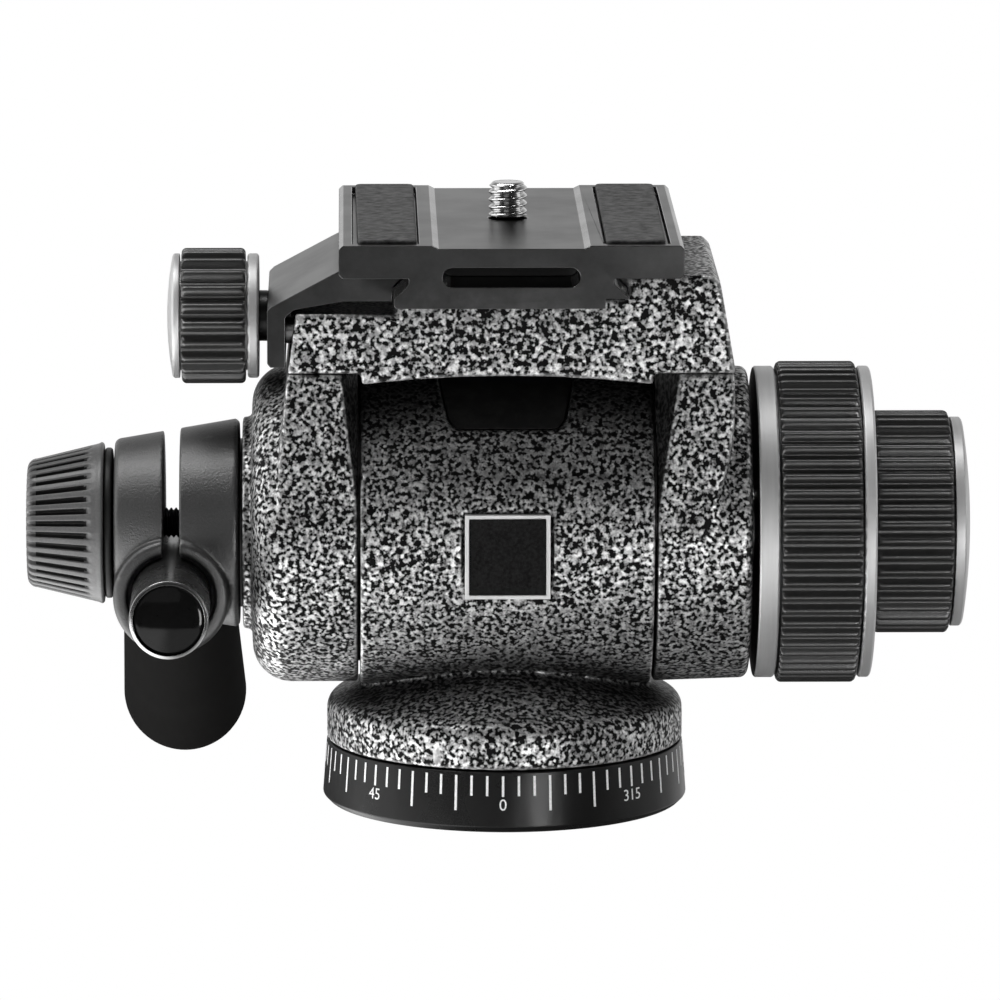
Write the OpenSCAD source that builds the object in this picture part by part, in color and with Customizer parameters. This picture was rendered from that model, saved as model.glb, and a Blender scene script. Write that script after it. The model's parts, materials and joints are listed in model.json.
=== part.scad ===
// Two-way fluid head: graduated pan base, tilting yoke, quick-release plate, lock knobs and handle.
// Sizes are in millimetres. Z is the pan axis, X is the tilt axis and -Y is the front.
// The origin is the mouth of the tripod socket, in the base's lower face.

/* [Base] */
// Radius of the dial at its foot
dial_r = 30.3; // [28.5:0.1:34]
// Radius of the dial at its top
dial_top_r = 29.6; // [28.5:0.1:33]
// Height of the dial
dial_h = 10.1; // [9:0.1:13]
// Thickness of the dial's floor
dial_floor = 4; // [3:0.1:5]
// Radius of the 3/8 inch tripod socket
socket_r = 4.76; // [3:0.01:5]
// Depth of the tripod socket
socket_depth = 10; // [8:0.1:11]
// Wall of the tripod bush
bush_wall = 3.6; // [2.5:0.1:4]
// Radius of the pan spindle's shaft
spindle_r = 6; // [5:0.1:6.5]

/* [Pan housing] */
// Height of the housing's upright rim
rim_h = 4.9; // [3:0.1:6]
// Round of the housing's shoulder
shoulder_r = 2.8; // [1.5:0.1:3.5]
// Slope of the housing's roof in degrees
roof_slope = 24; // [15:1:26]
// Height of the tilt axis
tilt_z = 46.4; // [46:0.1:52]
// Radius of the column's barrel
column_r = 26.6; // [26:0.1:27]
// Width of the column
column_w = 48.2; // [46:0.1:54]
// Depth of the step in the upper half of the column
column_step = 0.5; // [0.2:0.1:1]
// Height of that step above the tilt axis
crease_up = 11.5; // [9:0.1:15]
// Width of the wall in the middle of the column
web_w = 26; // [25:0.1:29]
// Side of the square badge
badge_w = 14; // [8:0.1:18]
// Width of the badge's frame
badge_frame_w = 0.7; // [0.5:0.1:2]
// Width of the top cover at its lower edge
cover_w = 19; // [14:0.1:22]
// Height of the top cover's lower edge above the tilt axis
cover_up = 18.6; // [16:0.1:20]

/* [Tilt parts] */
// Radius of the tilt axle
axle_r = 5; // [4:0.1:5.5]
// Wall of the sleeve that runs on the axle
sleeve_wall = 1.94; // [1.5:0.01:2.3]
// Radius of the column's side pockets
pocket_r = 20; // [19:0.1:21]
// Wall of the bearing bushes
bearing_wall = 2.5; // [1.5:0.1:3]

/* [Cheeks] */
// Radius of the cheeks about the tilt axis
cheek_r = 26.4; // [25.5:0.1:26.5]
// Width of the left cheek
left_cheek_w = 19.1; // [18:0.1:24]
// Width of the right cheek
right_cheek_w = 15.8; // [14:0.1:20]
// Radius of the left cheek's clamp boss
left_boss_r = 17.6; // [15:0.1:19]
// Radius of the right cheek at its outer end
right_boss_r = 25.5; // [23:0.1:26]
// Height of the cheeks' tops above the tilt axis
arm_rise = 28.6; // [28:0.1:34]
// Depth of the cheeks' tops and of the platform
arm_depth = 45; // [42:0.1:48]
// Width of the slanted cuts on the left arm's inner edges
left_relief = 2.8; // [1:0.1:4]
// Width of the slanted cuts on the right arm's inner edges
right_relief = 3.8; // [1:0.1:4.5]

/* [Platform and jaw] */
// Height of the shelf under the moving jaw above the cheeks' tops
shelf_h = 9.9; // [9.5:0.1:12]
// Depth of the apron below the cheeks' tops
apron_h = 1.8; // [1:0.1:2]
// Length of the moving jaw
jaw_depth = 44; // [36:0.1:46]
// Thickness of the moving jaw's outer leg
jaw_leg_t = 3; // [2:0.1:4]
// Radius of the quick-release screw
qr_screw_r = 3; // [2.5:0.1:3.2]
// Radius of the jaw's guide pins
guide_r = 2; // [1.5:0.1:2.5]

/* [Camera plate] */
// Width of the plate
plate_w = 55.8; // [50:0.1:64]
// Length of the plate
plate_l = 70; // [60:0.5:90]
// Height of the plate
plate_h = 10.3; // [9.8:0.1:12]
// Width of the dovetail at its widest
dovetail_w = 38; // [37:0.1:39]
// Width of the dovetail's neck
neck_w = 33.2; // [32:0.1:34]
// Width of the channel along the plate's top
channel_w = 25.5; // [18:0.1:27]
// Width of a rubber pad
pad_w = 10.6; // [6:0.1:11]
// Height of the pads above the plate
pad_proud = 0.6; // [0.2:0.1:1.2]
// Radius of the 1/4 inch camera screw
camera_screw_r = 3.175; // [2.9:0.005:4.8]
// Height of the camera screw above the plate
camera_screw_up = 5.5; // [4:0.1:8]

/* [Knobs] */
// Radius of the pan lock ring's grip
pan_lock_r = 26.7; // [26:0.1:30]
// Width of the pan lock ring's grip
pan_lock_w = 13.1; // [9:0.1:18]
// Ribs around the pan lock ring
pan_lock_ribs = 65; // [40:1:72]
// Radius of the tilt lock knob's grip
tilt_lock_r = 18.5; // [15:0.1:22]
// Width of the tilt lock knob's grip
tilt_lock_w = 12.5; // [9:0.1:18]
// Ribs around the tilt lock knob
tilt_lock_ribs = 42; // [24:1:48]
// Radius of the quick-release knob's grip
qr_knob_r = 11.2; // [9:0.1:12]
// Width of the quick-release knob's grip
qr_knob_w = 10.6; // [8:0.1:14]
// Ribs around the quick-release knob
qr_knob_ribs = 22; // [14:1:26]
// Depth of the rubber on every grip
rubber_t = 2.2; // [1.6:0.1:3]

/* [Handle] */
// Radius of the handle clamp at the cheek
clamp_r = 17.3; // [16:0.1:19]
// Radius of the handle clamp at the knob
clamp_tip_r = 14; // [13:0.1:16]
// Width of the handle clamp
clamp_w = 20.7; // [19:0.1:26]
// Width of the clamp's slot
slot_w = 2.7; // [1.5:0.1:4]
// Radius of the clamp's stud
stud_r = 2.5; // [2:0.1:3]
// Wall between the stud and the handle bar
bar_wall = 0.6; // [0.4:0.1:2]
// Radius of the handle bar
bar_r = 6.5; // [6:0.1:7]
// Distance of the boss round the bar ahead of the tilt axis
boss_y = 17; // [14:0.1:20]
// Distance of the bar's front end ahead of the tilt axis
bar_front = 36.5; // [32:0.1:44]
// Bend of the handle bar in degrees
bar_bend = 29; // [10:0.5:35]
// Length of the bar behind its bend
bar_l = 71.6; // [70:0.1:200]
// Length of the grip
grip_l = 69; // [50:0.5:74]
// Radius of the grip at its end
grip_r = 10.9; // [9.6:0.1:12]
// Radius of the clamp knob at its rim
clamp_knob_r = 13.4; // [12:0.1:16]
// Radius of the clamp knob at its tip
clamp_knob_tip_r = 10.7; // [9:0.1:12]
// Length of the clamp knob
clamp_knob_l = 12.75; // [11:0.05:18]
// Flutes around the clamp knob
clamp_knob_flutes = 38; // [20:1:42]

/* [Hidden] */
$fn = 96;
// Clearances: a fixed seat, a running fit, and open room between moving faces
fit = 0.04;
run = 0.06;
gap = 0.3;
// Overrun of a cut past the face that it opens
over = 1;

// Pan stack, upwards from the dial
bush_r = socket_r + bush_wall;
bush_h = socket_depth + 2;
spindle_body_r = bush_r + 2.64;
spindle_flange_r = spindle_body_r + 5;
spindle_flange_t = 2.6;
spindle_body_top = bush_h + 2;
washer_t = 1;
hub_z = spindle_body_top + washer_t;
hub_r = spindle_body_r + 1;
hub_h = 14;
pan_bush_r = spindle_r + 2;
shelf_z = hub_z + hub_h;
spring_t = 1.4;
nut_h = 4.5;
nut_r = spindle_r + 3;
nut_well_r = nut_r + 0.6;
spindle_top = shelf_z + spring_t + nut_h + 1.1;
base_screw_ring_r = spindle_body_r + 2.5;
base_screw_r = 2;
base_screw_head_r = 3.6;

// Pan housing
rim_z = dial_h + gap;
rim_top_z = rim_z + rim_h;
rim_r = dial_top_r;
cavity_r = rim_r - 5.6;
cavity_top_z = rim_top_z + 1.7;
cover_top_w = cover_w + 4.5;
cover_t = 3;
cover_sink = 0.6;
badge_t = 1.2;
badge_drop = 1;
badge_groove = 0.5;
badge_face_y = -column_r - 0.2;

// Fluid drag of the pan: a cup on the base round a drum in the housing
drag_gap = 0.4;
cup_r = cavity_r - drag_gap;
cup_wall = 2;
drum_r = cup_r - cup_wall - drag_gap;
drum_wall = 2.8;

// Fluid drag of the tilt: a drum on the column between two walls of a cup on the left cheek
tilt_cup_r = pocket_r - drag_gap;
tilt_cup_wall = 1.4;
tilt_drum_r = tilt_cup_r - tilt_cup_wall - drag_gap;
tilt_drum_wall = 2.4;
tilt_core_r = tilt_drum_r - tilt_drum_wall - drag_gap;
tilt_core_wall = 2;

// Stations along the tilt axis
column_x = column_w / 2;
web_x = web_w / 2;
cheek_x = column_x + gap;
left_x = -cheek_x - left_cheek_w;
right_x = cheek_x + right_cheek_w;
bearing_l = 10;
bearing_inset = 1.6;
sleeve_r = axle_r + run + sleeve_wall;
left_bearing_r = axle_r + run + bearing_wall;
right_bearing_r = sleeve_r + run + bearing_wall;
eccentric = 0.3;
eccentric_r = sleeve_r - 0.4;
eccentric_l = 8;
axle_left_x = -cheek_x - bearing_inset - bearing_l + 0.4;

// Arms and platform
seam_z = tilt_z + arm_rise;
arm_y = arm_depth / 2;
arm_foot = 2;
arm_foot_y = cheek_r - 0.18;
relief_h = arm_rise - 5;
left_arm_w = 13.3;
right_arm_w = 13.1;
left_arm_x = -column_x - left_arm_w;
left_arm_top_x = left_arm_x + 1.5;
right_arm_x = column_x + right_arm_w;
arm_reach = 30;
arm_sweep_r = 48;
arm_sweep_up = 24;
arm_sweep_z = tilt_z + arm_sweep_up;
platform_left_x = left_arm_top_x;
platform_right_x = right_arm_x + 0.1;
screw_x = cheek_x + 4.6;
screw_y = 9;
screw_r = 1.5;
screw_head_r = 2.75;
screw_head_h = 3;
screw_pocket_y = screw_y + 3.2;
screw_wall = 4.6;

// Quick release
plate_x = 0.4;
camera_head_rim = 4;
shelf_top_z = seam_z + shelf_h;
floor_z = shelf_top_z + 2.5;
plate_z = floor_z + gap;
plate_top_z = plate_z + plate_h;
dovetail_x = dovetail_w / 2;
neck_x = neck_w / 2;
lip_h = 1.5;
lip_z = plate_z + lip_h;
neck_z = lip_z + dovetail_x - neck_x;
wing_z = neck_z + 1;
pad_sink = 1.2;
camera_head_r = camera_screw_r + camera_head_rim;
pad_inset = 2.2;
jaw_clear = 0.2;
jaw_flat = 8;
fixed_jaw_z = wing_z - 1.4;
jaw_top_z = wing_z - 0.7;
jaw_out_x = platform_left_x - 0.3 - jaw_leg_t;
qr_z = seam_z + 6.2;
qr_stem_l = 1.5;
qr_stem_r = qr_screw_r + 1.2;
qr_ring_w = 1.9;
qr_groove = 0.3;
qr_knob_x = jaw_out_x - qr_stem_l;
qr_core_l = qr_ring_w + qr_knob_w + 2 * qr_groove;
qr_cap_t = 2.1;
qr_cap_rise = 0.9;
clip_t = 0.8;
clip_r = qr_screw_r + 1.6;
guide_y = 14;

// Lock knobs on the right
ring_gap = 1;
knob_gap = 0.6;
ring_in_t = 3.4;
ring_out_t = 2;
grip_groove = 0.4;
ring_r = pan_lock_r - 0.8;
pan_lock_x = right_x + ring_gap;
pan_hub_x = pan_lock_x + ring_in_t;
pan_hub_l = pan_lock_w + 2 * grip_groove;
ring_out_x = pan_hub_x + pan_hub_l;
tilt_lock_x = ring_out_x + ring_out_t + knob_gap;
tilt_hub_l = tilt_lock_w + grip_groove;
cap_t = 3.2;
cap_rise = 1.4;
cap_r = tilt_lock_r - 1.1;
axle_right_x = tilt_lock_x + tilt_hub_l - 0.6;

// Handle side on the left
friction_t = 0.5;
friction_inset = 3.6;
clamp_x = left_x - friction_t;
handle_off = 11.2;
handle_x = clamp_x - handle_off;
handle_drop = bar_r + stud_r + bar_wall;
handle_z = tilt_z - handle_drop;
boss_wall = 3;
boss_r = bar_r + run + boss_wall;
collar_x = min(clamp_x - clamp_w, handle_x - boss_r) - gap;
collar_t = 1.3;
collar_r = clamp_knob_r - 0.9;
knob_x = collar_x - collar_t - 0.1;
insert_r = stud_r + 2;
insert_l = clamp_knob_l - 3.2;
stud_in_x = axle_left_x - 1.8;
stud_end_x = knob_x - insert_l + 0.4;
bar_front_y = -bar_front;
bend_start = 5;
bend_y = boss_y + bend_start;
bend_r = 28;
plug_r = bar_r - 0.7;
bar_rear_r = bar_r - 0.15;
grip_taper = 0.02;
grip_end = grip_r + 1.1;
grip_start = bar_l + grip_end - grip_l;

paint = [0.16, 0.16, 0.17];
black = [0.07, 0.07, 0.07];
rubber = [0.05, 0.05, 0.05];
bright = [0.66, 0.67, 0.69];
steel = [0.55, 0.56, 0.58];
bronze = [0.66, 0.5, 0.28];
anodised = [0.2, 0.2, 0.22];

// Stands children on the tilt axis at x, with their own Z pointing outwards to the right
module right_of(x) {
    translate([x, 0, tilt_z]) rotate([0, 90, 0]) children();
}

// Stands children on the tilt axis at x, with their own Z pointing outwards to the left
module left_of(x) {
    translate([x, 0, tilt_z]) rotate([0, -90, 0]) children();
}

// Plain ring from its own Z = 0 upwards
module ring(outer_r, inner_r, height) {
    difference() {
        cylinder(r = outer_r, h = height);
        translate([0, 0, -over]) cylinder(r = inner_r, h = height + 2 * over);
    }
}

// Ring whose outer edges are chamfered at both ends
module chamfered_ring(outer_r, inner_r, height, edge) {
    rotate_extrude()
        polygon([
            [inner_r, 0], [outer_r - edge, 0], [outer_r, edge],
            [outer_r, height - edge], [outer_r - edge, height], [inner_r, height]
        ]);
}

// Rubber grip: a ring with round grooves between its ribs
module ribbed_grip(outer_r, inner_r, height, ribs, groove_r, edge) {
    intersection() {
        linear_extrude(height) difference() {
            circle(r = outer_r);
            circle(r = inner_r);
            for (i = [0:ribs - 1])
                rotate((i + 0.5) * 360 / ribs) translate([outer_r, 0]) circle(r = groove_r, $fn = 24);
        }
        chamfered_ring(outer_r, inner_r - over, height, edge);
    }
}

// Extrudes a front-view outline (X, Z) along Y, centred on the XZ plane
module along_y(depth) {
    translate([0, depth / 2, 0]) rotate([90, 0, 0]) linear_extrude(depth) children();
}

// Hole along the X axis between two stations
module hole_x(x0, x1, y, z, r) {
    translate([x0, y, z]) rotate([0, 90, 0]) cylinder(r = r, h = x1 - x0);
}

// Base, fixed to the tripod

module pan_dial() {
    edge = 1;
    color(black) difference() {
        rotate_extrude()
            polygon([
                [bush_r + fit, 0], [dial_r - edge, 0], [dial_r, edge], [dial_top_r, dial_h],
                [cavity_r + 1.6, dial_h], [cavity_r + 1.6, dial_floor], [bush_r + fit, dial_floor]
            ]);
        base_screw_places() {
            translate([0, 0, -over]) cylinder(r = base_screw_r + run, h = dial_floor + 2 * over);
            translate([0, 0, -over]) cylinder(r = base_screw_head_r + run, h = over + 2.2 + fit);
        }
    }
}

module base_screw_places() {
    for (i = [0:2])
        rotate(30 + i * 120) translate([base_screw_ring_r, 0, 0]) children();
}

module base_screws() {
    socket_h = 1.2;
    color(steel) base_screw_places() difference() {
        union() {
            translate([0, 0, 0.2]) cylinder(r = base_screw_head_r, h = 2);
            translate([0, 0, 0.2]) cylinder(r = base_screw_r, h = dial_floor + spindle_flange_t - 0.6);
        }
        translate([0, 0, 0.2 - over]) cylinder(r = 1.4, h = over + socket_h, $fn = 6);
    }
}

module tripod_bush() {
    color(steel) difference() {
        cylinder(r = bush_r, h = bush_h);
        translate([0, 0, -over]) cylinder(r = socket_r, h = socket_depth + over);
    }
}

module pan_spindle() {
    color(steel) difference() {
        rotate_extrude()
            polygon([
                [0, bush_h + fit], [bush_r + fit, bush_h + fit], [bush_r + fit, dial_floor],
                [spindle_flange_r, dial_floor], [spindle_flange_r, dial_floor + spindle_flange_t],
                [spindle_body_r, dial_floor + spindle_flange_t], [spindle_body_r, spindle_body_top],
                [spindle_r, spindle_body_top], [spindle_r, spindle_top], [0, spindle_top]
            ]);
        base_screw_places()
            translate([0, 0, dial_floor - over])
                cylinder(r = base_screw_r + fit, h = spindle_flange_t + 2 * over);
    }
}

module pan_nut() {
    color(steel) translate([0, 0, shelf_z + spring_t]) difference() {
        cylinder(r = nut_r, h = nut_h, $fn = 6);
        translate([0, 0, -over]) cylinder(r = spindle_r + fit, h = nut_h + 2 * over);
    }
}

module pan_spring_washer() {
    cone = 0.6;
    color(steel) translate([0, 0, shelf_z])
        rotate_extrude()
            polygon([
                [spindle_r + 0.4, cone], [nut_r, fit],
                [nut_r, spring_t - cone], [spindle_r + 0.4, spring_t]
            ]);
}

module pan_drag_cup() {
    floor_t = 1.4;
    color(anodised) translate([0, 0, dial_floor])
        rotate_extrude()
            polygon([
                [spindle_flange_r + 0.5, 0], [cup_r, 0], [cup_r, cavity_top_z - dial_floor - 0.8],
                [cup_r - cup_wall, cavity_top_z - dial_floor - 0.8], [cup_r - cup_wall, floor_t],
                [spindle_flange_r + 0.5, floor_t]
            ]);
}

module pan_thrust_washer() {
    color("white") translate([0, 0, spindle_body_top])
        ring(spindle_body_r - 0.2, spindle_r + gap, washer_t);
}

// Pan body, turning on the base

// The housing's dome: an upright rim, a rounded shoulder and a sloping roof
module dome() {
    turn = 90 - roof_slope - 1;
    shoulder_x = rim_r - shoulder_r;
    roof_r = shoulder_x + shoulder_r * cos(turn);
    roof_z = rim_top_z + shoulder_r * sin(turn);
    rotate_extrude() union() {
        polygon([
            [0, rim_z], [rim_r, rim_z], [rim_r, rim_top_z], [roof_r, roof_z],
            [0, roof_z + roof_r * tan(roof_slope)]
        ]);
        translate([shoulder_x, rim_top_z]) circle(r = shoulder_r);
    }
}

module column() {
    right_of(-column_x) cylinder(r = column_r - column_step, h = column_w);
    intersection() {
        right_of(-column_x) cylinder(r = column_r, h = column_w);
        translate([-column_x - over, -column_r - over, 0])
            cube([column_w + 2 * over, 2 * (column_r + over), tilt_z + crease_up]);
    }
}

// Front view of the top cover, wider upwards, with its lower corners cut off
module cover_outline(extra) {
    low = cover_w / 2 + extra;
    high = cover_top_w / 2 + extra;
    corner = 1.2;
    z0 = tilt_z + cover_up - extra;
    polygon([
        [-low + corner, z0], [low - corner, z0], [low, z0 + corner], [high, tilt_z + column_r + over],
        [-high, tilt_z + column_r + over], [-low, z0 + corner]
    ]);
}

module pan_housing() {
    color(paint) difference() {
        union() {
            dome();
            column();
        }
        // Cavity for the fluid drag, with the hub of the pan bush left standing
        difference() {
            translate([0, 0, rim_z - over]) cylinder(r = cavity_r, h = cavity_top_z - rim_z + over);
            translate([0, 0, hub_z]) cylinder(r = hub_r, h = cavity_top_z);
        }
        translate([0, 0, hub_z - over]) cylinder(r = pan_bush_r + fit, h = shelf_z - hub_z + 2 * over);
        // Well of the pan nut and the brake, open to the top
        translate([0, 0, shelf_z]) cylinder(r = nut_well_r, h = column_r + tilt_z);
        // Side pockets, axle and sleeve
        right_of(web_x) cylinder(r = pocket_r, h = column_w);
        left_of(-web_x) cylinder(r = pocket_r, h = column_w);
        right_of(-column_x) cylinder(r = axle_r + fit, h = column_w);
        right_of(0) cylinder(r = sleeve_r + run, h = column_w);
        // Seats of the top cover and the badge
        difference() {
            along_y(2 * column_r + 2 * over) cover_outline(0.1);
            right_of(-column_x) cylinder(r = column_r - column_step - cover_sink - cover_t, h = column_w);
        }
        badge_block(badge_w + 2 * badge_groove, badge_face_y + badge_t, -over - badge_t);
    }
}

// Square block on the column's front, from the depth y forwards
module badge_block(width, y, forward) {
    translate([-width / 2, y + forward, tilt_z - badge_drop - width / 2])
        cube([width, -forward, width]);
}

module badge_frame() {
    color(bright) difference() {
        badge_block(badge_w, badge_face_y + badge_t, -badge_t);
        badge_block(badge_w - 2 * badge_frame_w, badge_face_y + badge_t / 2, -badge_t);
    }
}

module badge_plate() {
    color(black)
        badge_block(badge_w - 2 * badge_frame_w - 2 * fit, badge_face_y + badge_t / 2, -0.4);
}

module top_cover() {
    outer_r = column_r - column_step - cover_sink;
    color(black) intersection() {
        right_of(-column_x) ring(outer_r, outer_r - cover_t + fit, column_w);
        along_y(2 * column_r) cover_outline(0);
    }
}

module pan_bush() {
    color(bronze) translate([0, 0, hub_z]) ring(pan_bush_r, spindle_r + run, shelf_z - hub_z);
}

module pan_drag_drum() {
    foot = dial_floor + 2.2;
    color(anodised) translate([0, 0, foot]) ring(drum_r, drum_r - drum_wall, cavity_top_z - foot);
}

module tilt_axle() {
    color(steel) right_of(axle_left_x) cylinder(r = axle_r, h = axle_right_x - axle_left_x);
}

module tilt_drag_drum() {
    color(anodised) left_of(-web_x) ring(tilt_drum_r, tilt_drum_r - tilt_drum_wall, column_x - web_x - 1.1);
}

// Shoe under the sleeve's eccentric, which presses it down on the spindle's end
module pan_brake_shoe() {
    top_z = tilt_z - eccentric_r + eccentric - 0.1;
    bottom_z = spindle_top + eccentric + 0.1;
    color(bronze) translate([0, 0, bottom_z]) cylinder(r = nut_well_r - 0.5, h = top_z - bottom_z);
}

// Yoke, tilting on the axle

// Side outline of an arm (Y, Z): slanted front and back above the barrel
module arm_side(x0, x1) {
    translate([x0, 0, 0]) rotate([90, 0, 90]) linear_extrude(x1 - x0)
        polygon([
            [-arm_foot_y, tilt_z + arm_foot], [arm_foot_y, tilt_z + arm_foot],
            [arm_y, seam_z], [-arm_y, seam_z]
        ]);
}

module left_cheek() {
    round_r = 6.5;
    round_x = cheek_r - round_r;
    body_w = left_cheek_w - 1.6;
    color(paint) difference() {
        union() {
            left_of(-cheek_x) rotate_extrude() union() {
                square([cheek_r, body_w - round_r]);
                square([round_x, body_w]);
                translate([round_x, body_w - round_r]) circle(r = round_r);
                square([left_boss_r, left_cheek_w]);
            }
            intersection() {
                arm_side(-column_x - arm_reach, -cheek_x);
                along_y(3 * cheek_r)
                    polygon([
                        [-cheek_x, tilt_z], [left_arm_x, tilt_z], [left_arm_x, tilt_z + arm_rise / 2],
                        [left_arm_top_x, seam_z], [-cheek_x, seam_z]
                    ]);
            }
        }
        left_of(-cheek_x + over)
            cylinder(r = left_bearing_r + fit, h = over + bearing_inset + bearing_l + 0.2);
        hole_x(left_x - over, -cheek_x, 0, tilt_z, stud_r + fit);
        mirror([1, 0, 0]) {
            screw_pocket();
            arm_reliefs(left_relief);
        }
    }
}

module right_cheek() {
    edge = 0.8;
    color(paint) difference() {
        union() {
            right_of(cheek_x) rotate_extrude()
                polygon([
                    [0, 0], [cheek_r, 0], [right_boss_r + edge / 2, right_cheek_w - edge],
                    [right_boss_r - edge / 2, right_cheek_w], [0, right_cheek_w]
                ]);
            intersection() {
                arm_side(cheek_x, column_x + arm_reach);
                along_y(3 * cheek_r) intersection() {
                    translate([cheek_x, tilt_z]) square([column_x, arm_rise]);
                    translate([right_arm_x - arm_sweep_r, arm_sweep_z]) circle(r = arm_sweep_r);
                }
            }
        }
        right_of(cheek_x - over)
            cylinder(r = right_bearing_r + fit, h = right_cheek_w + 2 * over);
        screw_pocket();
        arm_reliefs(right_relief);
    }
}

// Slanted cuts along an arm's inner edges, front and back, that run out downwards
module arm_reliefs(width) {
    depth = 2.4 * width;
    low_z = seam_z - relief_h;
    low_y = arm_y + (arm_foot_y - arm_y) * relief_h / (arm_rise - arm_foot);
    across = norm([width, depth]);
    inward = width * depth / across + (low_y - arm_y) * width / across;
    block = 2 * relief_h;
    for (side = [0, 1])
        mirror([0, side, 0]) translate([cheek_x, -low_y, low_z])
            rotate([0, 0, -atan2(depth, width)]) rotate([-atan(inward / relief_h), 0, 0])
                translate([-block / 2, -block, 0]) cube(block);
}

// Pocket behind a cheek's inner face, with the two screw holes up through the arm's top
module screw_pocket() {
    pocket_top = seam_z - screw_wall;
    pocket_h = 8;
    translate([cheek_x - over, -screw_pocket_y, pocket_top - pocket_h])
        cube([over + 2 * (screw_x - cheek_x), 2 * screw_pocket_y, pocket_h]);
    screw_places() translate([0, 0, pocket_top - over])
        cylinder(r = screw_r + run, h = screw_wall + 2 * over);
}

module screw_places() {
    for (y = [-screw_y, screw_y])
        translate([screw_x, y, 0]) children();
}

module platform_screw_pair() {
    head_z = seam_z - screw_wall - screw_head_h;
    screw_places() translate([0, 0, head_z]) difference() {
        union() {
            cylinder(r = screw_head_r, h = screw_head_h);
            cylinder(r = screw_r, h = screw_head_h + screw_wall + 6);
        }
        translate([0, 0, -over]) cylinder(r = 1.3, h = over + 1.6, $fn = 6);
    }
}

module platform_screws() {
    color(steel) {
        platform_screw_pair();
        mirror([1, 0, 0]) platform_screw_pair();
    }
}

module platform() {
    apron_w = 2 * (column_x - 0.2);
    arch_rise = apron_h - 0.4;
    arch_r = (pow(apron_w / 2, 2) + pow(arch_rise, 2)) / (2 * arch_rise);
    apron_t = 4.5;
    slope_low = plate_x + dovetail_x + jaw_clear;
    slope_high = slope_low - (fixed_jaw_z - lip_z);
    corner = 1.2;
    lean = 2.6;
    color(paint) difference() {
        union() {
            along_y(arm_depth)
                polygon([
                    [platform_left_x, seam_z], [platform_right_x, seam_z],
                    [platform_right_x - lean, fixed_jaw_z - corner],
                    [platform_right_x - lean - corner, fixed_jaw_z],
                    [slope_high, fixed_jaw_z], [slope_low, lip_z],
                    [slope_low, floor_z], [plate_x - dovetail_x + 0.6, floor_z],
                    [plate_x - dovetail_x + 0.6, shelf_top_z],
                    [platform_left_x + 1.4, shelf_top_z]
                ]);
            for (side = [-1, 1])
                translate([0, side * (arm_y - apron_t / 2), 0]) along_y(apron_t) difference() {
                    translate([-apron_w / 2, seam_z - apron_h]) square([apron_w, apron_h + 1]);
                    translate([0, seam_z - apron_h + arch_rise - arch_r]) circle(r = arch_r, $fn = 192);
                }
        }
        hole_x(platform_left_x - over, -column_x / 2, 0, qr_z, qr_screw_r + run);
        hole_x(platform_left_x - over, platform_left_x + 6, 0, qr_z, clip_r + 0.4);
        for (y = [-guide_y, guide_y])
            hole_x(platform_left_x - over, -column_x / 2, y, qr_z, guide_r + run);
        for (side = [0, 1])
            mirror([side, 0, 0]) screw_places() translate([0, 0, seam_z - over])
                cylinder(r = screw_r + fit, h = over + 6.4);
    }
}

module left_bush() {
    color(bronze) left_of(-cheek_x - bearing_inset) ring(left_bearing_r, axle_r + run, bearing_l);
}

module right_bush() {
    color(bronze) right_of(cheek_x + bearing_inset)
        ring(right_bearing_r, sleeve_r + run, right_cheek_w - 2 * bearing_inset);
}

// Rotor of the tilt drag: a disc on the left cheek with two walls round the drum
module tilt_drag_cup() {
    reach = cheek_x - web_x - drag_gap;
    floor_t = 1;
    rim_in_r = tilt_cup_r - tilt_cup_wall;
    core_in_r = tilt_core_r - tilt_core_wall;
    color(anodised) right_of(-cheek_x) rotate_extrude()
        polygon([
            [left_bearing_r + 0.6, 0], [tilt_cup_r, 0], [tilt_cup_r, reach], [rim_in_r, reach],
            [rim_in_r, floor_t], [tilt_core_r, floor_t], [tilt_core_r, reach],
            [core_in_r, reach], [core_in_r, floor_t], [left_bearing_r + 0.6, floor_t]
        ]);
}

module tilt_brake_disc() {
    color(rubber) left_of(cheek_x) ring(pocket_r - 0.8, sleeve_r + 1, 1.7);
}

module tilt_pressure_plate() {
    color(steel) left_of(cheek_x - 2.1) ring(pocket_r - 0.6, sleeve_r + run, 2.4);
}

module clamp_friction_ring() {
    color(rubber) left_of(left_x) ring(left_boss_r - friction_inset, stud_r + 1, friction_t);
}

module clamp_stud() {
    color(steel) left_of(stud_in_x) cylinder(r = stud_r, h = stud_in_x - stud_end_x);
}

// Lock knobs, turning on the axle

module pan_lock_hub() {
    color(black) right_of(pan_hub_x) ring(pan_lock_r - rubber_t, axle_r + run, pan_hub_l);
}

module pan_lock_grip() {
    color(rubber) right_of(pan_hub_x + grip_groove)
        ribbed_grip(pan_lock_r, pan_lock_r - rubber_t + fit, pan_lock_w, pan_lock_ribs, 0.62, 0.8);
}

module pan_lock_inner_ring() {
    color(bright) right_of(pan_lock_x) chamfered_ring(ring_r, sleeve_r + fit, ring_in_t, 0.3);
}

module pan_lock_outer_ring() {
    color(bright) right_of(ring_out_x) chamfered_ring(ring_r, axle_r + run, ring_out_t, 0.3);
}

// Sleeve of the pan lock, with its eccentric over the brake shoe
module pan_lock_sleeve() {
    start_x = nut_well_r - eccentric_l;
    end_x = pan_hub_x;
    color(steel) difference() {
        union() {
            right_of(nut_well_r) cylinder(r = sleeve_r, h = end_x - nut_well_r);
            translate([0, 0, eccentric]) right_of(start_x) cylinder(r = eccentric_r, h = eccentric_l);
        }
        right_of(start_x - over) cylinder(r = axle_r + run, h = end_x - start_x + 2 * over);
    }
}

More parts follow.
